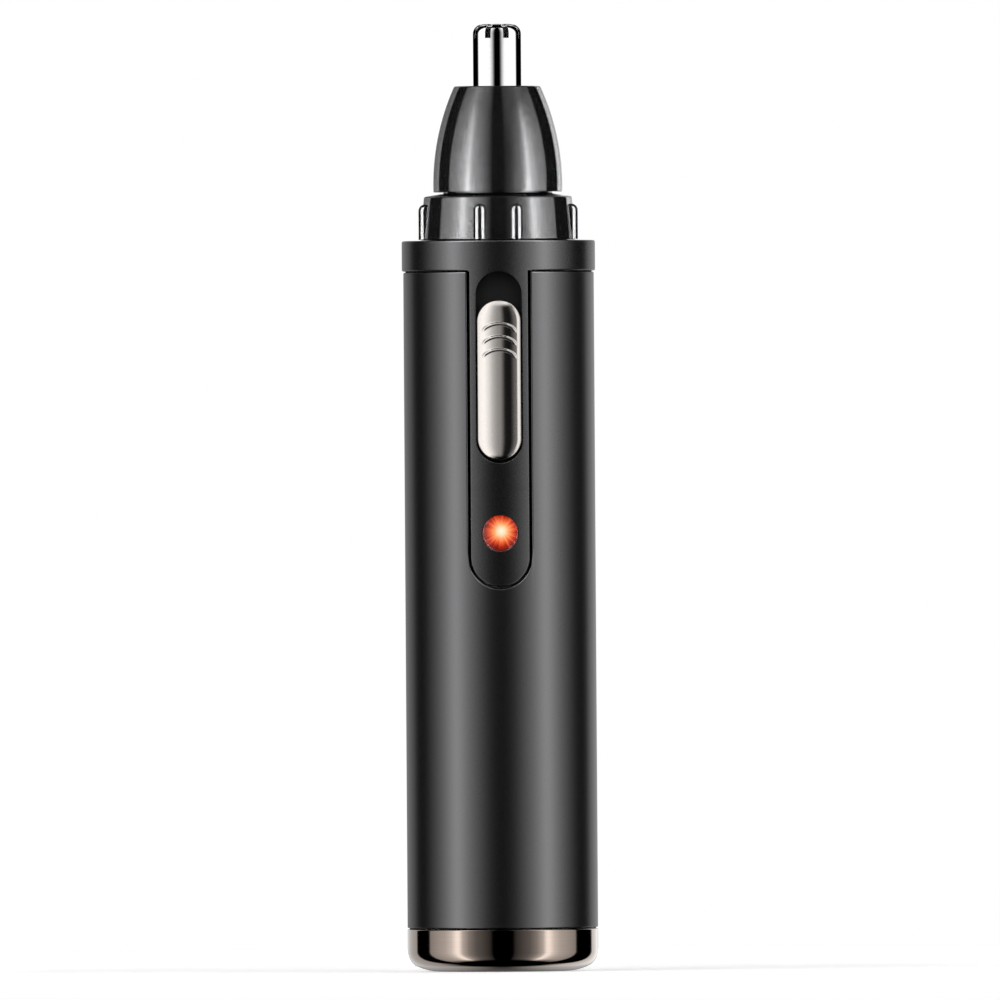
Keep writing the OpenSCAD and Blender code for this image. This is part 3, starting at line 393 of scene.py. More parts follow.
def smooth_step(t):
    """Eases from 0 to 1."""
    t = np.clip(t, 0.0, 1.0)
    return t * t * (3.0 - 2.0 * t)


def put_mesh(name, points, faces):
    """Mesh of the welded points. A face that a pole has pinched loses its spare corners."""
    points, corners = weld(points, faces)
    keep = corners != np.roll(corners, 1, axis=1)
    corners, keep = corners[keep.sum(axis=1) > 2], keep[keep.sum(axis=1) > 2]
    totals = keep.sum(axis=1)
    mesh = bpy.data.meshes.new(name)
    mesh.vertices.add(len(points))
    mesh.vertices.foreach_set("co", points.astype(np.float32).ravel())
    mesh.loops.add(int(totals.sum()))
    mesh.loops.foreach_set("vertex_index", corners[keep].astype(np.int32))
    mesh.polygons.add(len(totals))
    mesh.polygons.foreach_set("loop_start", (np.cumsum(totals) - totals).astype(np.int32))
    mesh.update(calc_edges=True)
    if mesh.validate():
        raise RuntimeError(f"the mesh of {name} has faults")
    return mesh


def put_object(name, mesh, material):
    """Object of a mesh, at the origin."""
    mesh.materials.append(material)
    made = bpy.data.objects.new(name, mesh)
    bpy.context.scene.collection.objects.link(made)
    return made


def put_piece(name, node, material, shell):
    """A piece that rides on its node's body and stands for that node."""
    mesh = put_mesh(name, *shell)
    mesh.shade_smooth()
    mesh.set_sharp_from_angle(angle=CREASE)
    piece = put_object(name, mesh, material)
    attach(piece, frame["nodes"][node]["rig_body"])
    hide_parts(node)
    return piece


def soften(piece, width):
    """Rounds the sharp edges of a piece."""
    bevel = piece.modifiers.new("edge rounding", "BEVEL")
    bevel.width = width
    bevel.segments = 3
    bevel.limit_method = "ANGLE"
    bevel.angle_limit = BEVELLED
    bevel.harden_normals = True


def new_material(name, bare=False):
    """New material and its node tree, which is empty if it is to be bare."""
    material = bpy.data.materials.new(name)
    material.use_nodes = True
    if bare:
        material.node_tree.nodes.clear()
    return material, material.node_tree


def feed(tree, node, inputs):
    """Sets a node's inputs to values, or links them to the outputs of other nodes."""
    for key, value in inputs.items():
        if isinstance(value, bpy.types.NodeSocket):
            tree.links.new(value, node.inputs[key])
        else:
            node.inputs[key].default_value = value


def add(tree, kind, inputs=None, out=0, **settings):
    """New shader node with its settings and inputs. Gives one of its outputs, or with None the node."""
    node = tree.nodes.new("ShaderNode" + kind)
    for key, value in settings.items():
        setattr(node, key, value)
    feed(tree, node, inputs or {})
    return node if out is None else node.outputs[out]


def mapped(tree, value, start, end, low=0.0, high=1.0):
    """A value from start to end becomes one from low to high."""
    spans = {"From Min": start, "From Max": end, "To Min": low, "To Max": high}
    return add(tree, "MapRange", {"Value": value, **spans})


def ramp(tree, share_of_way, stops):
    """Colour that runs through stops, each a share of the way and a colour."""
    colour = add(tree, "ValToRGB", {"Fac": share_of_way})
    elements = colour.node.color_ramp.elements
    for element, (position, tone) in zip(elements, (stops[0], stops[-1])):
        element.position, element.color = position, (*tone, 1.0)
    for position, tone in stops[1:-1]:
        elements.new(position).color = (*tone, 1.0)
    return colour


# Each finish: its colour or the property that holds it, roughness, metal, grain in millimetres, spread of the
# roughness, fleck of the colour, and depth of the relief in millimetres. Then what isn't usual: stretch draws
# the grain out along the axes, shine is a plastic's gloss, and rim the brightness of a metal's steep edges.
USUAL = {"stretch": (1.0, 1.0, 1.0), "shine": 0.5, "rim": 1.0}
FINISHES = {
    "satin_black": ("sleeve", 0.29, 1.0, 0.12, 0.06, 0.06, 0.0004),
    "satin_black_collar": ("collar", 0.28, 1.0, 0.12, 0.06, 0.06, 0.0004),
    # Painted shade: flat, dull black for the rings in the sleeve's end seams, where the gaps fall dark.
    "seam_black": ((0.007, 0.007, 0.0075), 0.6, 0.0, 0.2, 0.15, 0.15, 0.002, ("shine", 0.1)),
    # Painted shade: the recess floor is near-black and dull, to stand for the shade deep in the switch's
    # recess.
    "recess_black": ((0.007, 0.007, 0.0075), 0.45, 0.0, 0.2, 0.15, 0.15, 0.002, ("shine", 0.1)),
    "bronze_chrome": ("bronze", 0.07, 1.0, 0.12, 0.3, 0.04, 0.0002, ("stretch", (60.0, 60.0, 1.0))),
    "socket_nickel": ((0.7, 0.69, 0.67), 0.18, 1.0, 0.3, 0.2, 0.05, 0.0),
    "pearl_nickel": ("nickel", 0.13, 1.0, 0.1, 0.12, 0.05, 0.0003),
    "gloss_black": ("gloss", 0.06, 0.94, 0.5, 0.2, 0.04, 0.0),
    "seal_rubber": ((0.02, 0.02, 0.021), 0.55, 0.0, 0.2, 0.15, 0.2, 0.002),
    "cutter_steel": ("steel", 0.06, 1.0, 0.4, 0.25, 0.03, 0.0, ("rim", 0.1)),
    # Painted shade: the blade's steel is darkened to stand for the shade inside the tip's slots.
    "blade_steel": ((0.3, 0.3, 0.31), 0.25, 1.0, 0.3, 0.2, 0.1, 0.0),
    "spring_steel": ((0.62, 0.62, 0.64), 0.25, 1.0, 0.3, 0.2, 0.06, 0.0),
    "black_plastic": ((0.022, 0.022, 0.023), 0.5, 0.0, 0.25, 0.15, 0.15, 0.003),
    "white_nylon": ((0.78, 0.76, 0.71), 0.42, 0.0, 0.3, 0.15, 0.04, 0.002),
    "grey_foam": ((0.06, 0.06, 0.065), 0.9, 0.0, 0.35, 0.05, 0.4, 0.06),
    "cell_wrap": ((0.05, 0.24, 0.11), 0.3, 0.0, 1.2, 0.2, 0.1, 0.004),
    "board_green": ((0.02, 0.16, 0.05), 0.35, 0.0, 0.8, 0.25, 0.35, 0.01),
    "light_chip": ((0.8, 0.7, 0.42), 0.4, 0.0, 0.4, 0.1, 0.1, 0.0),
    "tinned_steel": ((0.55, 0.55, 0.53), 0.32, 1.0, 0.5, 0.25, 0.12, 0.002),
    "ferrite": ((0.05, 0.05, 0.055), 0.7, 0.0, 0.3, 0.1, 0.25, 0.01),
    "wound_copper": ((0.42, 0.16, 0.06), 0.4, 0.8, 0.5, 0.2, 0.3, 0.03, ("stretch", (8.0, 8.0, 1.0))),
    "bush_bronze": ((0.45, 0.29, 0.12), 0.35, 1.0, 0.25, 0.2, 0.15, 0.003),
    "terminal_brass": ((0.6, 0.43, 0.17), 0.3, 1.0, 0.4, 0.2, 0.1, 0.0),
    "screw_steel": ((0.42, 0.42, 0.43), 0.3, 1.0, 0.3, 0.2, 0.12, 0.0),
    "lead_red": ((0.4, 0.02, 0.012), 0.45, 0.0, 0.4, 0.15, 0.1, 0.0),
    "lead_black": ((0.018, 0.018, 0.02), 0.45, 0.0, 0.4, 0.15, 0.15, 0.0),
}
NOISE_SPAN = 0.3, 0.7  # where most of a noise's values lie


def finish(name):
    """Finish of that name. Its colour, roughness and relief follow one noise of the grain's size."""
    colour, rough, metal, grain, spread, fleck, relief, *unusual = FINISHES[name]
    more = {**USUAL, **dict(unusual)}
    if isinstance(colour, str):
        colour = getattr(bpy.context.scene.trimmer_colours, colour)
    material = bpy.data.materials.get(name) or bpy.data.materials.new(name)
    material.use_nodes = True
    tree = material.node_tree
    scale = [1.0 / (grain * MM * along) for along in more["stretch"]]
    scaled = add(tree, "Mapping", {"Vector": add(tree, "TexCoord", out="Object"), "Scale": scale})
    noise = add(tree, "TexNoise", {"Vector": scaled, "Scale": 1.0, "Detail": 3.0})
    tones = [[min(1.0, c * (1.0 + change)) for c in colour] for change in (-fleck, fleck)]
    shader = tree.nodes["Principled BSDF"]
    feed(tree, shader, {
        "Base Color": ramp(tree, noise, list(zip(NOISE_SPAN, tones))),
        "Roughness": mapped(tree, noise, *NOISE_SPAN, rough * (1.0 - spread), rough * (1.0 + spread)),
        "Metallic": metal,
        "Specular IOR Level": more["shine"],
        "Specular Tint": (*[more["rim"]] * 3, 1.0),
    })
    if relief > 0.0:
        height = {"Strength": 1.0, "Distance": relief * MM, "Height": noise}
        feed(tree, shader, {"Normal": add(tree, "Bump", height)})
    return material


def glow(name, colours, radius, height):
    """Lit lens: the light's colour changes from core to edge with the distance from the chip behind it, which
    sits a little aside of the lens's axis and above it. A noise that changes only round the chip draws that
    out into rays."""
    aside, above, ray_share, rays_round, dim_share = 0.15 * MM, 0.3 * MM, 0.18, 6.0, 0.3
    material, tree = new_material(name)
    centre = add(tree, "Mapping", {
        "Vector": add(tree, "TexCoord", out="Object"),
        "Location": (-aside / radius, 0.0, -(height + above) / radius),
        "Scale": (1.0 / radius, 0.0, 1.0 / radius),
    })
    distance = add(tree, "VectorMath", {0: centre}, "Value", operation="LENGTH")
    around = add(tree, "VectorMath", {0: centre}, operation="NORMALIZE")
    rays = add(tree, "TexNoise", {"Vector": around, "Scale": rays_round})
    drawn_out = mapped(tree, rays, *NOISE_SPAN, 1.0 - ray_share, 1.0 + ray_share)
    ray = add(tree, "Math", {0: distance, 1: drawn_out}, operation="MULTIPLY")
    dim = [dim_share * c for c in colours.glow_edge]
    stops = [
        (0.08, colours.glow_core), (0.25, colours.glow_amber), (0.43, colours.glow_warm),
        (0.64, colours.glow_red), (0.84, colours.glow_edge), (1.0, dim),
    ]
    feed(tree, tree.nodes["Principled BSDF"], {
        "Base Color": (0.05, 0.008, 0.006, 1.0),
        "Roughness": 0.15,
        "Emission Color": ramp(tree, ray, stops),
        "Emission Strength": 1.0,
    })
    return material


def dress(material, *names):
    """Gives a finish to CAD nodes that stay as they are."""
    for name in names:
        for place in frame["nodes"][name].material_slots:
            place.material = material


class TRIMMER_OT_sleeve(bpy.types.Operator):
    """Build the satin black sleeve with its slot for the tongue"""

    bl_idname = "trimmer.sleeve"
    bl_label = "Sleeve"

    def execute(self, context):
        sizes = context.scene.trimmer_handle
        half = sizes.tongue_w / 2 + sizes.seam
        low, top = SLEEVE_LOW + sizes.end_seam, SLEEVE_TOP - sizes.end_seam
        points, faces = weld(*self.slotted_tube(half, low, TONGUE_LOW - sizes.seam + half, top))
        inward = points * [1.0, 1.0, 0.0] * (-sizes.sleeve_wall / SLEEVE_R)
        tube, satin = thick(points, faces, inward), finish("satin_black")
        soften(put_piece("sleeve_tube", "outer_sleeve", satin, tube), ROUND)
        # Rings of painted shade: black rings in both end seams stand for the dark gaps there, not real seals.
        shade_rings = join(self.seal(sizes, low, SLEEVE_LOW), self.seal(sizes, top, SLEEVE_TOP))
        put_piece("sleeve_seals", "outer_sleeve", finish("seam_black"), shade_rings)
        return {"FINISHED"}

    # The seal method builds one ring of painted shade, no real seal.
    def seal(self, sizes, inner_end, outer_end, edge=0.02 * MM):
        """Thin black ring of painted shade that closes the seam at one end of the sleeve, where the gap would
        fall dark: a rounded block's section turned round the axis."""
        low, top = sorted((inner_end, outer_end))
        outer, inner = SLEEVE_R - sizes.seal_depth, SLEEVE_R - sizes.sleeve_wall
        corners = (outer, low), (outer, top), (inner, top), (inner, low)
        return turned(rounded(*[[r, z, edge] for r, z in corners]))

    def slotted_tube(self, half, low, centre, top, rows=14, across=57, around=360):
        """Tube with a round-ended slot that is open at the top.

        Across the slot the columns lie at x, from -half to half, a little closer at the ends, and the lower
        rows rise to the slot's round end, z = centre - sqrt(half^2 - x^2). The other columns share the rest
        of the circle.
        """
        t = np.linspace(-1.0, 1.0, across)
        x = half * (0.6 * t + 0.4 * np.sin(t * np.pi / 2))
        front = np.arcsin(x / SLEEVE_R)
        side = np.linspace(front[-1], 2 * np.pi + front[0], around)
        a = np.concatenate([front, side[1:-1]])
        round_end = centre - np.sqrt(np.maximum(half ** 2 - x ** 2, 0.0))
        end = np.concatenate([round_end, np.full(around - 2, centre)])
        rise = np.linspace(0.0, 1.0, rows)[:, None]
        lower = round_axis(SLEEVE_R, a, low + rise * (end - low))
        upper = round_axis(SLEEVE_R, side, centre + rise * (top - centre))
        return join((lower, quads(rows, len(a), close_cols=True)), (upper, quads(rows, around)))


class TRIMMER_OT_collar(bpy.types.Operator):
    """Build the collar, its tongue and the recess of the switch"""

    bl_idname = "trimmer.collar"
    bl_label = "Collar and tongue"

    def execute(self, context):
        sizes, lens = context.scene.trimmer_handle, context.scene.trimmer_switch
        satin = finish("satin_black_collar")
        shells = {
            "collar_ring": (self.ring(sizes), satin),
            "collar_tongue": (self.tongue(sizes, lens.lens_r + lens.lens_hole), satin),
            # The recess floor's black finish is painted shade for the depth of the recess.
            "recess_floor": (self.floor(sizes), finish("recess_black")),
        }
        for name, (shell, material) in shells.items():
            piece = put_piece(name, "front_collar", material, shell)
            if name != "collar_ring":
                soften(piece, sizes.tongue_edge)
        return {"FINISHED"}

    def ring(self, sizes, across=33, around=200):
        """The collar: a turned ring. Its lower edge is round, but sharp above the tongue, so that the tongue
        flows out of it, and its bore widens at the three entries of the bayonet."""
        half = sizes.tongue_w / 2
        front = np.arcsin(np.linspace(-half, half, across) / COLLAR_R)
        a = np.concatenate([front, np.linspace(front[-1], 2 * np.pi + front[0], around)[1:-1]])
        outline = rounded(
            [COLLAR_R, SLEEVE_TOP, sizes.edge],
            [COLLAR_R, COLLAR_TOP, sizes.edge],
            [sizes.socket_r, COLLAR_TOP, ROUND],
            [sizes.socket_r, SLEEVE_TOP, FINE],
        )
        r, z = outline[:, :1] + 0.0 * a, outline[:, 1:] + 0.0 * a
        lower_edge = (r > COLLAR_R - 0.99 * sizes.edge) & (z < SLEEVE_TOP + sizes.edge)
        r = np.where(lower_edge & (np.arange(len(a)) < across), COLLAR_R, r)
        from_entry = np.abs((a - ENTRY_TURN + np.pi / 3) % (2 * np.pi / 3) - np.pi / 3)
        r = np.where((r < sizes.entry_r) & (from_entry < ENTRY_HALF), sizes.entry_r, r)
        return round_axis(r, a, z), quads(*r.shape, True, True)

    def tongue(self, sizes, hole, overlap=0.5 * MM, inset=0.01 * MM, across=33, sides=24, end=65, rise=120):
        """The tongue: two sheets that meet on a level line, one round the lens and one round the recess,
        closed by a flat back. They lie on the sleeve's cylinder, and near the top, which lies in the collar's
        lower edge, they ease out to the collar's."""
        half = sizes.tongue_w / 2
        centre, top = TONGUE_LOW + half, SLEEVE_TOP + overlap
        level = (LENS_Z + hole + sizes.recess_low) / 2
        line = np.linspace(half, -half, across)
        side = np.linspace(level, centre, sides)[1:-1]
        turn = np.radians(np.linspace(180.0, 360.0, end))
        x = np.concatenate([line, np.full(sides - 2, -half), half * np.cos(turn), np.full(sides - 2, half)])
        z = np.concatenate([np.full(across, level), side, centre + half * np.sin(turn), side[::-1]])
        lens_sheet = self.sheet(x, z, LENS_Z, LENS_Z, hole, steps=10)
        up = np.linspace(level, top, rise)
        x = np.concatenate([np.full(rise - 1, half), line, np.full(rise - 2, -half), line[::-1][:-1]])
        z = np.concatenate([up[:-1], np.full(across, top), up[-2:0:-1], np.full(across - 1, level)])
        bay = sizes.recess_w / 2
        recess_sheet = self.sheet(x, z, sizes.recess_low + bay, sizes.recess_top - bay, bay, steps=6)
        flat, faces = join(lens_sheet, recess_sheet)
        x, z = flat.T
        eased = smooth_step(1.0 - (SLEEVE_TOP - z) / sizes.tongue_ease)
        radius = SLEEVE_R + (COLLAR_R - inset - SLEEVE_R) * eased
        points, faces = weld(np.stack([x, -np.sqrt(radius ** 2 - x ** 2), z], axis=1), faces)
        back = np.zeros_like(points)
        back[:, 1] = -sizes.tongue_back - points[:, 1]
        return thick(points, faces, back)

    def floor(self, sizes, overlap=0.2 * MM, rows=41, cols=13, wider=1.3):
        """The recess's flat floor: a sheet between the recess's pill outline and the lever's slot. Its lines
        run to where the slot's outline, drawn out to the pill's height and a little wider, faces the pill."""
        bay = sizes.recess_w / 2 + overlap
        low, top = sizes.recess_low + sizes.recess_w / 2, sizes.recess_top - sizes.recess_w / 2
        side = np.linspace(sizes.lever_low, sizes.lever_top, rows)
        across = np.linspace(sizes.lever_w / 2, -sizes.lever_w / 2, cols)
        right, left = np.full(rows - 1, across[0]), np.full(rows - 1, across[-1])
        x = np.concatenate([right, across[:-1], left, across[::-1][:-1]])
        z = np.concatenate([side[:-1], np.full(cols - 1, side[-1]), side[:0:-1], np.full(cols - 1, side[0])])
        middle = (sizes.lever_low + sizes.lever_top) / 2
        drawn_out = (top - low) / (sizes.lever_top - sizes.lever_low) * wider
        outer = self.nearest(x, middle + drawn_out * (z - middle), low, top, bay)
        flat, faces = self.between(np.stack(outer, axis=1), np.stack([x, z], axis=1), steps=6)
        points = np.stack([flat[:, 0], np.full(len(flat), -sizes.recess_floor), flat[:, 1]], axis=1)
        return thick(points, faces, np.array([0.0, sizes.recess_floor - sizes.tongue_back, 0.0]))

    def sheet(self, x, z, low, top, radius, steps):
        """Sheet between an outline and the pill of that radius round the middle line from low to top."""
        inner = np.stack(self.nearest(x, z, low, top, radius), axis=1)
        return self.between(np.stack([x, z], axis=1), inner, steps)

    def nearest(self, x, z, low, top, radius):
        """Points of a pill that face the given points, straight out from its middle line."""
        middle = np.clip(z, low, top)
        away = np.hypot(x, z - middle)
        return radius * x / away, middle + radius * (z - middle) / away

    def between(self, outer, inner, steps):
        """Sheet of straight lines from one closed outline to another: p = outer + f (inner - outer)."""
        f = np.linspace(0.0, 1.0, steps)[:, None, None]
        points = outer + f * (inner - outer)
        return points.reshape(-1, 2), quads(steps, len(outer), close_cols=True)


class TRIMMER_OT_cap(bpy.types.Operator):
    """Build the bronze chrome end cap and the rim of the charging socket"""

    bl_idname = "trimmer.cap"
    bl_label = "End cap"

    def execute(self, context):
        sizes = context.scene.trimmer_handle
        shell = turned(self.cap_outline(sizes))
        put_piece("end_cap_shell", "end_cap", finish("bronze_chrome"), shell)
        nickel = finish("socket_nickel")
        rim = rounded(
            [sizes.mouth_r, RIM_LOW, ROUND],
            [RIM_R, RIM_LOW, ROUND],
            [RIM_R, sizes.rim_top, HAIR],
            [sizes.mouth_r, sizes.rim_top, HAIR],
        )
        put_piece("socket_mouth", "socket_rim", nickel, turned(rim, FEW_COLUMNS))
        dress(nickel, "socket_pin")
        return {"FINISHED"}

    def cap_outline(self, sizes, shoulder=0.18 * MM, hollow_edge=0.4 * MM):
        """The cap's section: a flat foot, two arcs that flow into each other, a wall, the plug and its
        hollow."""
        side = np.array([CAP_R - sizes.cap_side_r, 0.0])
        spare = (sizes.cap_under_r - sizes.cap_side_r) ** 2 - (side[0] - sizes.foot_r) ** 2
        side[1] = sizes.cap_under_r - math.sqrt(spare)
        lean = math.degrees(math.atan2(side[1] - sizes.cap_under_r, side[0] - sizes.foot_r))
        hollow, boss = sizes.plug_r - sizes.plug_wall, sizes.jack_r + sizes.jack_wall
        mouth = RIM_R + FIT
        return rounded(
            [mouth, FOOT_Z, FINE],
            arc((sizes.foot_r, sizes.cap_under_r), sizes.cap_under_r, -90.0, lean, 14),
            arc(side, sizes.cap_side_r, lean, 0.0, 20)[1:],
            [CAP_R, SLEEVE_LOW, shoulder],
            [sizes.plug_r, SLEEVE_LOW, HAIR],
            [sizes.plug_r, PLUG_TOP, FULL],
            [hollow, PLUG_TOP, ROUND],
            [hollow, sizes.cap_floor, hollow_edge],
            [boss, sizes.cap_floor, FULL],
            [boss, sizes.cap_floor + sizes.jack_h, ROUND],
            [sizes.jack_r, sizes.cap_floor + sizes.jack_h, FINE],
            [sizes.jack_r, sizes.cap_floor, FINE],
            [mouth, sizes.cap_floor, HAIR],
        )


class TRIMMER_OT_knob(bpy.types.Operator):
    """Build the pearl nickel switch knob with its arched ridges"""

    bl_idname = "trimmer.knob"
    bl_label = "Switch knob"

    def execute(self, context):
        sizes = context.scene.trimmer_switch
        middle, root = KNOB_LOW + sizes.prong_up, 0.1 * MM
        prongs = [
            block(
                (-sizes.prong_w / 2, -sizes.knob_back - root, low),
                (sizes.prong_w / 2, -sizes.prong_end, low + sizes.prong_t),
            )
            for low in (middle + sizes.prong_gap / 2, middle - sizes.prong_gap / 2 - sizes.prong_t)
        ]
        shell = join(self.crowned(sizes), *prongs)
        put_piece("switch_slider", "switch_knob", finish("pearl_nickel"), shell)
        return {"FINISHED"}

    def crowned(self, sizes, flank=0.5 * MM, back_edge=0.12 * MM, straight=270, ends=72):
        """The knob: a section (distance, depth) carried round the pill's middle line, up the right side, over
        the top, down the left side and under the bottom. The crown is an arc, and the ridges are added to its
        depth."""
        low, top = KNOB_LOW + KNOB_HALF, KNOB_TOP - KNOB_HALF
        centre = sizes.knob_front - sizes.crown_r
        lean = math.degrees(math.acos((KNOB_HALF - flank) / sizes.crown_r))
        edge = centre + math.sqrt(sizes.crown_r ** 2 - KNOB_HALF ** 2)
        section = rounded(
            [0.0, sizes.knob_back, SMOOTH],
            [KNOB_HALF, sizes.knob_back, back_edge],
            [KNOB_HALF, edge, sizes.knob_edge],
            arc((0.0, centre), sizes.crown_r, lean, 90.0, 56),
        )
        up = np.linspace(low, top, straight)
        bend = np.linspace(0.0, np.pi, ends)[1:-1]
        a = np.concatenate([np.zeros(straight), bend, np.full(straight, np.pi), np.pi + bend])
        line = np.concatenate([up, np.full(ends - 2, top), up[::-1], np.full(ends - 2, low)])
        d, depth = section[:, :1], section[:, 1:]
        x, z = d * np.cos(a), line + d * np.sin(a)
        y = -depth - np.where(depth > edge, self.ridges(sizes, x, z), 0.0)
        return np.stack([x, y, z], axis=-1).reshape(-1, 3), quads(*x.shape, close_cols=True)

    def ridges(self, sizes, x, z, taper=0.6 * MM):
        """Height of the ridges: bars along the upper arcs of circles one pitch apart, with a squared cosine
        for their section, that taper to their ends."""
        peak = KNOB_TOP - sizes.ridge_end - sizes.ridge_pitch * np.arange(sizes.ridge_count)[:, None, None]
        drop = z - (peak - sizes.ridge_w / 2 - sizes.ridge_r)
        across = np.abs(np.hypot(x, drop) - sizes.ridge_r) / (sizes.ridge_w / 2)
        bar = np.cos(np.clip(across, 0.0, 1.0) * np.pi / 2) ** 2 * (drop > 0.0)
        ends = smooth_step((sizes.ridge_span / 2 - np.abs(x)) / taper)
        return sizes.ridge_h * (bar * ends).max(axis=0)


class TRIMMER_OT_light(bpy.types.Operator):
    """Build the lit lens of the charging light"""

    bl_idname = "trimmer.light"
    bl_label = "Charging light"

    def execute(self, context):
        sizes, colours = context.scene.trimmer_switch, context.scene.trimmer_colours
        back_of_tongue = context.scene.trimmer_handle.tongue_back
        low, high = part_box("led_lens")
        front, back = -low.y, -high.y
        dome = front - sizes.lens_dome
        lean = math.degrees(math.acos((sizes.lens_r - FULL) / sizes.lens_dome))
        rim = dome + math.sqrt(sizes.lens_dome ** 2 - sizes.lens_r ** 2)
        outline = rounded(
            [0.0, back, SMOOTH],
            [sizes.lens_stem, back, FINE],
            [sizes.lens_stem, back_of_tongue - sizes.lens_flange, HAIR],
            [FLANGE_R, back_of_tongue - sizes.lens_flange, FINE],
            [FLANGE_R, back_of_tongue, FINE],
            [sizes.lens_r, back_of_tongue, HAIR],
            [sizes.lens_r, rim, ROUND],
            arc((0.0, dome), sizes.lens_dome, lean, 90.0, 16),
        )
        points, faces = turned(outline, FEW_COLUMNS)
        lit = glow("lit_lens", colours, sizes.lens_r, LENS_Z)
        put_piece("light_lens", "led_lens", lit, (face_front(points, LENS_Z), faces))
        return {"FINISHED"}


class TRIMMER_OT_head(bpy.types.Operator):
    """Build the gloss black ribbed base of the head and its seal"""

    bl_idname = "trimmer.head"
    bl_label = "Ribbed base"

    def execute(self, context):
        sizes, gloss = context.scene.trimmer_head, finish("gloss_black")
        lugs = [self.lug(sizes, math.radians(turn)) for turn in LUG_TURNS]
        shell = join(turned(self.section(sizes)), *lugs)
        put_piece("ribbed_base", "head_base", gloss, shell)
        ribs = [self.rib(sizes, quarter * np.pi / 2, side) for quarter in range(4) for side in (-1, 1)]
        put_piece("grip_ribs", "head_base", gloss, join(*ribs))
        wire_r, centre = (SEAL_TOP - SEAL_LOW) / 2, (SEAL_LOW + SEAL_TOP) / 2
        loop = arc((SEAL_R - wire_r, centre), wire_r, 0.0, 360.0, 25)[:-1, :2]
        o_ring = turned(loop, SEAL_COLUMNS)
        put_piece("cover_o_ring", "cover_seal", finish("seal_rubber"), o_ring)
        return {"FINISHED"}

    def rib(self, sizes, middle, side, clear=0.1 * MM, across=37, rows=19):
        """One grip rib: a half-round bar up the ring's wall, with a round upper end. Its section is a half
        circle, aside = w sin p and out = w cos p, on two legs that end inside the wall. It faces as the
        middle of its pair does, and at the upper end the half circle shrinks by cos q while it rises by
        w sin q. The first row is one point that closes the lower end."""
        w, low = sizes.rib_w / 2, sizes.ring_low + clear
        p = np.linspace(-np.pi / 2, np.pi / 2, across)
        q = np.concatenate([[0.0, 0.0], np.linspace(0.0, np.pi / 2, rows)])[:, None]
        z = sizes.rib_top - w + w * np.sin(q)
        z[:2] = low
        base = sizes.rib_crest - w
        aside = side * sizes.rib_side + w * np.cos(q) * np.concatenate([[-1.0], np.sin(p), [1.0]])
        out = base + w * np.cos(q) * np.concatenate([[0.0], np.cos(p), [0.0]])
        out[:, [0, -1]] = sizes.rib_foot
        aside[0], out[0] = side * sizes.rib_side, base
        x = aside * np.cos(middle) + out * np.sin(middle)
        y = aside * np.sin(middle) - out * np.cos(middle)
        return np.stack([x, y, z + 0.0 * x], axis=-1).reshape(-1, 3), quads(*x.shape, close_cols=True)

    def section(self, sizes, groove_play=0.1 * MM, neck_edge=0.25 * MM):
        """The base's section from the ring's upper edge inwards and round to the ring's lower edge."""
        neck_in, spigot_in = sizes.neck_r - sizes.neck_wall, sizes.spigot_r - sizes.spigot_wall
        groove_low, groove_top = SEAL_LOW - groove_play, SEAL_TOP + groove_play
        return rounded(
            [sizes.ring_top_r, sizes.ring_top, sizes.ring_edge],
            [sizes.neck_r, sizes.crown_z, FINE],
            [sizes.neck_r, groove_low, HAIR],
            [sizes.groove_r, groove_low, HAIR],
            [sizes.groove_r, groove_top, HAIR],
            [sizes.neck_r, groove_top, HAIR],
            [sizes.neck_r, NECK_TOP, neck_edge],
            [neck_in, NECK_TOP, ROUND],
            [neck_in, sizes.web_top, FULL],
            [sizes.web_bore, sizes.web_top, HAIR],
            [sizes.web_bore, sizes.web_low, HAIR],
            [spigot_in, sizes.web_low, FULL],
            [spigot_in, HEAD_LOW, ROUND],
            [sizes.spigot_r, HEAD_LOW, ROUND],
            [sizes.spigot_r, sizes.ring_low, HAIR],
            [sizes.ring_r, sizes.ring_low, SMALL],
        )

    def lug(self, sizes, middle, root=0.3 * MM, steps=15):
        """One bayonet lug: a block bent round the spigot, as a closed section carried along an arc."""
        inner, top = sizes.spigot_r - root, sizes.lug_low + sizes.lug_h
        section = rounded(
            [sizes.lug_r, sizes.lug_low, SMALL],
            [sizes.lug_r, top, SMALL],
            [inner, top, 0.0],
            [inner, sizes.lug_low, 0.0],
        )
        a = middle + np.linspace(-sizes.lug_arc / 2, sizes.lug_arc / 2, steps)
        centre = section.mean(axis=0)
        closing = np.concatenate([[0.0], np.ones(steps), [0.0]])[None, :]
        a = np.concatenate([a[:1], a, a[-1:]])
        r = centre[0] + closing * (section[:, :1] - centre[0])
        z = centre[1] + closing * (section[:, 1:] - centre[1])
        return round_axis(r, a, z), quads(*r.shape, close_rows=True)


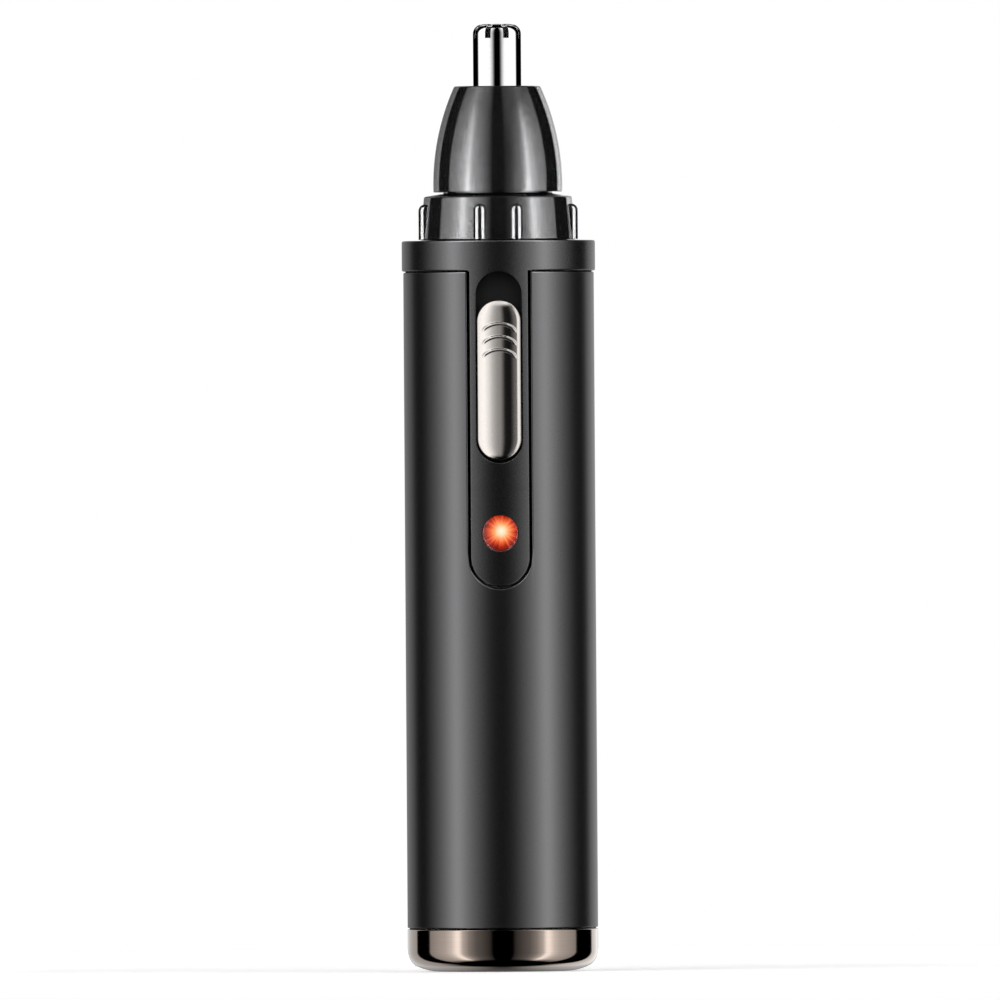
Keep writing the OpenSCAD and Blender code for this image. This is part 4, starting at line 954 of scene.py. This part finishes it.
class TRIMMER_OT_cover(bpy.types.Operator):
    """Build the gloss black domed cover"""

    bl_idname = "trimmer.cover"
    bl_label = "Cover"

    def execute(self, context):
        sizes = context.scene.trimmer_head
        widest, drop = CONE_LOW + sizes.cone_skirt, CONE_R - sizes.cone_top_r
        bend_r = ((CONE_TOP - widest) ** 2 + drop ** 2) / (2 * drop)
        spare, hole_edge = 0.8 * MM, 0.12 * MM
        first = math.degrees(math.asin((CONE_LOW + spare - widest) / bend_r))
        last = math.degrees(math.asin((CONE_TOP - spare - widest) / bend_r))
        base_r = CONE_R - bend_r + math.sqrt(bend_r ** 2 - sizes.cone_skirt ** 2)
        flange_z = CONE_TOP - sizes.lid
        tip_hole = sizes.tip_r + FIT
        outline = rounded(
            [base_r, CONE_LOW, FINE],
            arc((CONE_R - bend_r, widest), bend_r, first, last, 40),
            [sizes.cone_top_r, CONE_TOP, sizes.cone_edge],
            [tip_hole, CONE_TOP, hole_edge],
            [tip_hole, flange_z, HAIR],
            [sizes.seat_r, flange_z, FINE],
            [sizes.seat_r, sizes.seat_low, FINE],
            [sizes.bore_r, sizes.bore_top, ROUND],
            [sizes.bore_r, CONE_LOW, SMALL],
        )
        gloss = bpy.data.materials["gloss_black"]
        put_piece("cover_cone", "cutter_cover", gloss, turned(outline))
        return {"FINISHED"}


class TRIMMER_OT_cutter(bpy.types.Operator):
    """Build the slotted steel tip and the cutter's spring"""

    bl_idname = "trimmer.cutter"
    bl_label = "Steel tip and spring"

    def execute(self, context):
        sizes, tip = context.scene.trimmer_head, self.slotted_tip(context.scene.trimmer_head)
        piece = put_piece("slotted_tip", "outer_cutter", finish("cutter_steel"), tip)
        soften(piece, SLOT_EDGE)
        put_piece("cutter_coil", "cutter_spring", finish("spring_steel"), self.coil(sizes))
        # The blade's darkened steel is painted shade for the dark inside of the slotted tip.
        dress(finish("blade_steel"), "cutter_blade")
        return {"FINISHED"}

    def slotted_tip(self, sizes, land=9, slot=4, steps=13, courses=8):
        """The tip: an outline from the flange up the wall, over the round edge and in to the axis, carried
        round it. At radius r the slot's sides lie at the angle asin(w / r) from its middle, so that the slot
        keeps its width, and its faces are left out from its lower end, the wall's last row but one, to the
        hub."""
        edge_z, low = TIP_TOP - sizes.tip_edge, TIP_LOW + sizes.tip_flange
        bend = np.radians(np.linspace(0.0, 90.0, steps))[1:]
        wall = np.concatenate([np.linspace(low, TIP_TOP - sizes.slot_l, courses), [edge_z]])
        hub = sizes.slot_hub * np.array([1.0, 0.7, 0.4, 0.0])
        flange = [TIP_FLANGE_R, 0.5 * (TIP_FLANGE_R + sizes.tip_r)]
        round_r = sizes.tip_r - sizes.tip_edge + sizes.tip_edge * np.cos(bend)
        round_z = edge_z + sizes.tip_edge * np.sin(bend)
        r = np.concatenate([flange, np.full(len(wall), sizes.tip_r), round_r, hub])[:, None]
        z = np.concatenate([[low, low], wall, round_z, 0.0 * hub + TIP_TOP])[:, None]
        on_hub = np.ones(len(hub))
        out_r = np.concatenate([[0.0, 0.0], np.ones(len(wall)), np.cos(bend), 0.0 * on_hub])[:, None]
        out_z = np.concatenate([np.ones(3), np.zeros(len(wall) - 1), np.sin(bend), on_hub])[:, None]
        side = np.arcsin(sizes.slot_w / 2 / np.maximum(r, sizes.slot_hub))
        pitch = 2 * np.pi / sizes.slot_count
        in_slot = side * np.linspace(-1.0, 1.0, slot)
        on_land = side + (pitch - 2 * side) * np.linspace(0.0, 1.0, land + 2)[1:-1]
        sector = np.concatenate([in_slot, on_land], axis=1)
        turns = (np.arange(sizes.slot_count) + 0.5) * pitch
        a = (sector[:, None, :] + turns[None, :, None]).reshape(len(r), -1)
        rows, cols = a.shape
        faces = quads(rows, cols, close_cols=True)
        row, col = np.divmod(np.arange(len(faces)), cols)
        open_rows = (row >= len(wall)) & (row < rows - len(hub))
        faces = faces[~(open_rows & (col % (slot + land) < slot - 1))]
        return thick(round_axis(r, a, z), faces, -sizes.tip_wall * round_axis(out_r, a, out_z))

    def coil(self, sizes, steps=64, sides=16):
        """The spring: a circle of the wire's radius carried along a helix. Its sides point out from the axis
        and square to that, and its ends are closed on the helix."""
        wire_r, mean_r = sizes.wire / 2, SPRING_R - sizes.wire / 2
        low, top = SPRING_LOW + wire_r, SPRING_TOP - wire_r
        turn = np.linspace(0.0, 2.0 * np.pi * sizes.turns, steps * sizes.turns + 1)[:, None]
        out = np.concatenate([np.cos(turn), np.sin(turn), 0.0 * turn], axis=1)
        climb = (top - low) / turn[-1]
        along = np.concatenate([-mean_r * np.sin(turn), mean_r * np.cos(turn), 0.0 * turn + climb], axis=1)
        along /= np.linalg.norm(along, axis=1, keepdims=True)
        aside = np.cross(along, out)
        line = mean_r * out + np.array([0.0, 0.0, 1.0]) * (low + climb * turn)
        b = circle_angles(sides)[None, :, None]
        tube = line[:, None] + wire_r * (np.cos(b) * out[:, None] + np.sin(b) * aside[:, None])
        ends = np.repeat(line[[0, -1], None], sides, axis=1)
        points = np.concatenate([ends[:1], tube, ends[1:]])
        return points.reshape(-1, 3), quads(len(points), sides, close_cols=True)


INNER_PIECES = {
    "black_plastic": (
        "inner_frame", "charging_socket", "tip_retainer", "motor_holder", "switch_lever", "board_components",
    ),
    "white_nylon": ("spindle", "drive_coupling", "motor_end_bell"),
    "grey_foam": ("battery_pad",),
    "cell_wrap": ("battery_cell",),
    "board_green": ("circuit_board",),
    "light_chip": ("led_chip",),
    "tinned_steel": ("motor_can", "switch_case", "battery_tabs"),
    "ferrite": ("motor_magnets",),
    "wound_copper": ("motor_armature",),
    "bush_bronze": ("motor_bushes", "spindle_bush"),
    "terminal_brass": ("motor_terminals",),
    "screw_steel": ("board_screws", "holder_screws", "motor_shaft", "spindle_clip"),
    "lead_red": ("positive_leads",),
    "lead_black": ("negative_leads",),
}


class TRIMMER_OT_inner_pieces(bpy.types.Operator):
    """Give the pieces inside the handle and the head their finishes"""

    bl_idname = "trimmer.inner_pieces"
    bl_label = "Inner pieces"

    def execute(self, context):
        for name, pieces in INNER_PIECES.items():
            dress(finish(name), *pieces)
        return {"FINISHED"}


def both_sides(stops):
    """The same light on the right and on the left."""
    return [(-turn, light) for turn, light in reversed(stops)] + stops


def times(stops, factor):
    """The same stops with more or less light."""
    return [(turn, light * factor) for turn, light in stops]


SATIN_FRONT = both_sides([
    (10, 0), (17, 0.035), (24, 0.11), (32, 0.22), (41, 0.33), (48, 0.54), (55, 0.88),
    (64, 0.47), (74, 0.27), (84, 0.13), (97, 0.035), (99, 0),
])
SATIN_LIGHT = [
    (-128, 0.115), (-126, 0), *SATIN_FRONT, (127, 0), (129, 0.17), (165, 0.17), (175, 0.115),
]
CAP_LIGHT = [
    (-178, 0.04), (-165, 0.25), (-127, 0.27), (-125, 0),
    *both_sides([
        (12, 0), (15, 0.025), (32, 0.1), (41, 0.22), (49, 0.46), (54, 0.97), (57, 0.97),
        (64, 0.6), (73, 0.41), (97, 0.23), (99, 0),
    ]),
    (133, 0), (136, 0.42), (158, 0.42), (178, 0.04),
]
TIP_SIDE = [(12, 0), (16, 0.03), (24, 0.14), (36, 0.26), (98, 0.3), (105, 0)]
TIP_LIGHT = both_sides(TIP_SIDE)
TIP_LIGHT_HIGH = both_sides([*TIP_SIDE, (148, 0), (156, 0.3)])
KNOB_LIGHT = [
    (-98, 0.15), (-70, 0.29), (-59, 0.33), (-45, 0.34), (-32, 0.255), (-19, 0.15), (-6, 0.093),
    (4, 0.077), (11, 0.034), (17, 0.003), (35, 0.002), (41, 0.014), (47, 0.038), (56, 0.05),
    (60, 0.29), (65, 0.31), (72, 0.19), (98, 0.14),
]
KNOB_LIGHT_HIGH = both_sides([(8, 0.26), (60, 0.33), (98, 0.2)])
RIB_LIGHT = both_sides([(26, 0), (36, 1.6), (74, 1.6), (86, 0)])
GLOSS_BACK_LEFT = [(-165, 0.04), (-145, 0.09), (-132, 0.17), (-129, 0)]
GLOSS_BACK_RIGHT = [(131, 0), (135, 0.38), (141, 0.42), (155, 0.17)]
GLOSS_LIGHT = [
    *GLOSS_BACK_LEFT,
    (-98, 0), (-95, 0.19), (-83, 0.25), (-73, 0.36), (-64, 0.55), (-57, 0.94), (-53, 0.96),
    (-47, 0.52), (-40, 0.36), (-22, 0.13), (-10, 0),
    (10, 0), (24, 0.05), (41, 0.2), (48, 0.42), (54, 0.96), (57, 0.98), (64, 0.62),
    (73, 0.4), (83, 0.27), (95, 0.21), (98, 0),
    *GLOSS_BACK_RIGHT,
]
GLOSS_LIGHT_HIGH = [
    *GLOSS_BACK_LEFT,
    (-98, 0), (-95, 0.12), (-87, 0.15), (-77, 0.21), (-68, 0.25), (-59, 0.36), (-50, 0.25),
    (-41, 0.185), (-32, 0.15), (-23, 0.1), (-10, 0),
    (10, 0), (20, 0.06), (38, 0.075), (47, 0.09), (56, 0.135), (65, 0.15), (74, 0.1),
    (83, 0.09), (95, 0.08), (98, 0),
    *times(GLOSS_BACK_RIGHT, 0.55),
]

# Light round the trimmer for each finish: at heights in metres, angles from the front in degrees and shares
# of the panel light. Between two heights one light turns into the other. Each wall lights the pieces beside
# it, and the last one lights all others.
LIGHT_WALLS = {
    "satin_wall": (
        ("sleeve_tube", "collar_ring", "collar_tongue", "recess_floor"),
        {0.16: SATIN_LIGHT, 0.42: times(SATIN_FRONT, 5.0)},
    ),
    "cap_wall": (("end_cap_shell",), {0.0: CAP_LIGHT}),
    "tip_wall": (("slotted_tip",), {0.22: TIP_LIGHT, 0.36: TIP_LIGHT_HIGH}),
    "knob_wall": (("switch_slider",), {0.42: KNOB_LIGHT, 0.58: KNOB_LIGHT_HIGH}),
    "rib_wall": (("grip_ribs",), {0.0: RIB_LIGHT}),
    "gloss_wall": (
        (),
        {-0.1: times(GLOSS_LIGHT, 2.0), 0.2: GLOSS_LIGHT, 0.22: GLOSS_LIGHT, 0.37: GLOSS_LIGHT_HIGH},
    ),
}
WALL_STEP = 5 * MM  # distance from one wall to the next
WALL_COLUMNS, WALL_ROWS = 180, 5

# The dark board above the back: its half width, and the depths and heights of its three lines.
BOARD_HALF = 0.6
BOARD_LINES = (-0.15, 0.6), (0.0, 0.6), (0.5, 0.32)

FLOOR_RINGS = 0.0, 0.05, 0.15, 0.4, 1.0  # shares of the floor's radius
FLOOR_FADE = 0.3, 0.85  # shares of the floor's radius between which it fades to white


class TRIMMER_OT_stage(bpy.types.Operator):
    """Build the floor, the light panels, the surroundings and the camera"""

    bl_idname = "trimmer.stage"
    bl_label = "Stage"

    def execute(self, context):
        studio = context.scene.trimmer_studio
        floor = put_object("floor", self.disc(studio), self.floor_finish(studio))
        lit = [name for pieces, _ in LIGHT_WALLS.values() for name in pieces]
        walls = []
        for number, (name, (pieces, levels)) in enumerate(LIGHT_WALLS.items()):
            top = studio.knob_wall_top if name == "knob_wall" else studio.wall_top
            radius = studio.wall_r + WALL_STEP * number
            wall = self.bent_wall(name, levels, radius, top, bool(pieces), studio)
            self.light_only(wall, pieces or lit, "INCLUDE" if pieces else "EXCLUDE")
            walls.append(wall)
        dark = self.dark_cards(studio)
        for card in (*walls, dark):
            card.visible_camera = card.visible_shadow = False
        dark.visible_diffuse = floor.visible_glossy = False
        self.surroundings(context.scene, studio)
        self.camera(context.scene, studio)
        context.scene.view_settings.view_transform = "Standard"
        return {"FINISHED"}

    def light_only(self, wall, pieces, state):
        """Says whether a wall's light falls on some pieces only, or on all but those."""
        chosen = bpy.data.collections.new(wall.name + "_on")
        for place, name in enumerate(pieces):
            chosen.objects.link(bpy.data.objects[name])
            chosen.collection_objects[place].light_linking.link_state = state
        wall.light_linking.receiver_collection = chosen

    def dark_cards(self, studio, beyond=40 * MM, columns=48):
        """Two black cards: a disc under the wall and a board above the back, which edges reflect as dark
        lines."""
        a = circle_angles(columns)
        radius = studio.wall_r + beyond
        rim = np.stack([radius * np.cos(a), radius * np.sin(a), 0.0 * a + studio.wall_low], axis=-1)
        disc = np.stack([rim * [0.0, 0.0, 1.0], rim]).reshape(-1, 3), quads(2, columns, close_cols=True)
        corners = np.array([[x, y, z] for y, z in BOARD_LINES for x in (-BOARD_HALF, BOARD_HALF)])
        mesh = put_mesh("dark_cards", *join(disc, (corners, quads(len(BOARD_LINES), 2))))
        material, tree = new_material("black_card")
        black = {"Base Color": (0.0, 0.0, 0.0, 1.0), "Specular IOR Level": 0.0}
        feed(tree, tree.nodes["Principled BSDF"], black)
        return put_object("dark_cards", mesh, material)

    def disc(self, studio, under=0.02 * MM):
        """Flat floor just under the trimmer's foot: rings of points round its axis."""
        a = circle_angles(FEW_COLUMNS)
        r = np.array(FLOOR_RINGS)[:, None] * studio.floor_r
        points = np.stack([r * np.cos(a), r * np.sin(a), 0.0 * r * a - under], axis=-1)
        return put_mesh("floor", points.reshape(-1, 3), quads(*points.shape[:2], close_cols=True)[:, ::-1])

    def bent_wall(self, name, levels, radius, top, clear, studio):
        """Upright wall of light all round the trimmer, facing it. A clear one shows the walls behind it."""
        a = circle_angles(WALL_COLUMNS)
        z = np.linspace(studio.wall_low, top, WALL_ROWS)[:, None]
        faces = quads(WALL_ROWS, WALL_COLUMNS, close_cols=True)[:, ::-1]
        mesh = put_mesh(name, round_axis(radius, a, z), faces)
        return put_object(name, mesh, self.panel_finish(name, levels, clear, studio))

    def panel_finish(self, name, levels, clear, studio):
        """Light by the angle round the trimmer and the height, faded at the panels' lower ends."""
        material, tree = new_material(name, bare=True)
        place = add(tree, "SeparateXYZ", {0: add(tree, "TexCoord", out="Object")}).node.outputs
        to_front = add(tree, "Math", {0: place["Y"], 1: -1.0}, operation="MULTIPLY")
        turn = add(tree, "Math", {0: place["X"], 1: to_front}, operation="ARCTAN2")
        way_round = mapped(tree, turn, -math.pi, math.pi)
        shade = before = None
        for height, stops in levels.items():
            tones = [((degrees + 180.0) / 360.0, [light] * 3) for degrees, light in stops]
            upper = ramp(tree, way_round, tones)
            if shade is None:
                shade = upper
            else:
                rise = mapped(tree, place["Z"], before, height)
                shade = add(tree, "Mix", {0: rise, 6: shade, 7: upper}, 2, data_type="RGBA")
            before = height
        low = studio.panel_low
        fade = mapped(tree, place["Z"], low, low + studio.panel_fade, 0.0, studio.panel)
        light = add(tree, "Emission", {"Color": shade, "Strength": fade})
        if clear:
            light = add(tree, "AddShader", {0: light, 1: add(tree, "BsdfTransparent")})
        add(tree, "OutputMaterial", {"Surface": light}, None)
        return material

    def seen(self, tree):
        """1 for rays from the camera and for those that metal or glass sends on, 0 for matt light."""
        path = add(tree, "LightPath").node.outputs
        shown = path["Is Camera Ray"]
        for name in ("Is Glossy Ray", "Is Transmission Ray"):
            shown = add(tree, "Math", {0: shown, 1: path[name]}, operation="MAXIMUM")
        return shown

    def floor_finish(self, studio):
        """Pale floor, white where it is seen, that keeps a faint shadow and fades into the white
        surroundings."""
        material, tree = new_material("pale_floor", bare=True)
        matt = add(tree, "BsdfDiffuse", {"Color": (*[studio.floor_colour] * 3, 1.0)})
        place = add(tree, "TexCoord", out="Object")
        distance = add(tree, "VectorMath", {0: place}, "Value", operation="LENGTH")
        start, end = (share_of_floor * studio.floor_r for share_of_floor in FLOOR_FADE)
        white = add(tree, "Emission", {"Strength": mapped(tree, distance, start, end, studio.floor_glow)})
        both = add(tree, "AddShader", {0: matt, 1: white})
        shown = add(tree, "MixShader", {0: self.seen(tree), 1: matt, 2: both})
        add(tree, "OutputMaterial", {"Surface": shown}, None)
        return material

    def surroundings(self, scene, studio):
        """White surroundings where they are seen, and a dim grey light on matt surfaces."""
        world = bpy.data.worlds.new("white_room")
        world.use_nodes = True
        tree = world.node_tree
        level = mapped(tree, self.seen(tree), 0.0, 1.0, studio.ambient)
        feed(tree, tree.nodes["Background"], {"Color": (1.0, 1.0, 1.0, 1.0), "Strength": level})
        scene.world = world

    def camera(self, scene, studio, sight=40.0):
        """Long lens, level with the trimmer's middle, leaning a little to its right."""
        lens = bpy.data.cameras.new("camera")
        lens.lens = lens.sensor_width * studio.distance / studio.view_w
        lens.clip_end = sight
        camera = bpy.data.objects.new("camera", lens)
        camera.location = (0.0, -studio.distance, studio.aim)
        camera.rotation_euler = (math.pi / 2, studio.roll, 0.0)
        scene.collection.objects.link(camera)
        scene.camera = camera


class TRIMMER_PT_panel(bpy.types.Panel):
    """Lists the builders of the trimmer's pieces"""

    bl_idname = "TRIMMER_PT_panel"
    bl_label = "Nose hair trimmer"
    bl_space_type = "VIEW_3D"
    bl_region_type = "UI"
    bl_category = "Trimmer"

    def draw(self, context):
        for builder in BUILDERS:
            self.layout.operator(builder.bl_idname)


GROUPS = {
    "trimmer_handle": HandleSizes,
    "trimmer_switch": SwitchSizes,
    "trimmer_head": HeadSizes,
    "trimmer_colours": FinishColours,
    "trimmer_studio": StudioSettings,
}
BUILDERS = [
    TRIMMER_OT_sleeve,
    TRIMMER_OT_collar,
    TRIMMER_OT_cap,
    TRIMMER_OT_knob,
    TRIMMER_OT_light,
    TRIMMER_OT_head,
    TRIMMER_OT_cover,
    TRIMMER_OT_cutter,
    TRIMMER_OT_inner_pieces,
    TRIMMER_OT_stage,
]


def register():
    for group in [*GROUPS.values(), *BUILDERS, TRIMMER_PT_panel]:
        bpy.utils.register_class(group)
    for name, group in GROUPS.items():
        setattr(bpy.types.Scene, name, PointerProperty(type=group))


def unregister():
    for name in GROUPS:
        delattr(bpy.types.Scene, name)
    for group in reversed([*GROUPS.values(), *BUILDERS, TRIMMER_PT_panel]):
        bpy.utils.unregister_class(group)


def main():
    register()
    bpy.ops.trimmer.sleeve()
    bpy.ops.trimmer.collar()
    bpy.ops.trimmer.cap()
    bpy.ops.trimmer.knob()
    bpy.ops.trimmer.light()
    bpy.ops.trimmer.head()
    bpy.ops.trimmer.cover()
    bpy.ops.trimmer.cutter()
    bpy.ops.trimmer.inner_pieces()
    bpy.ops.trimmer.stage()


if __name__ == "__main__":
    main()
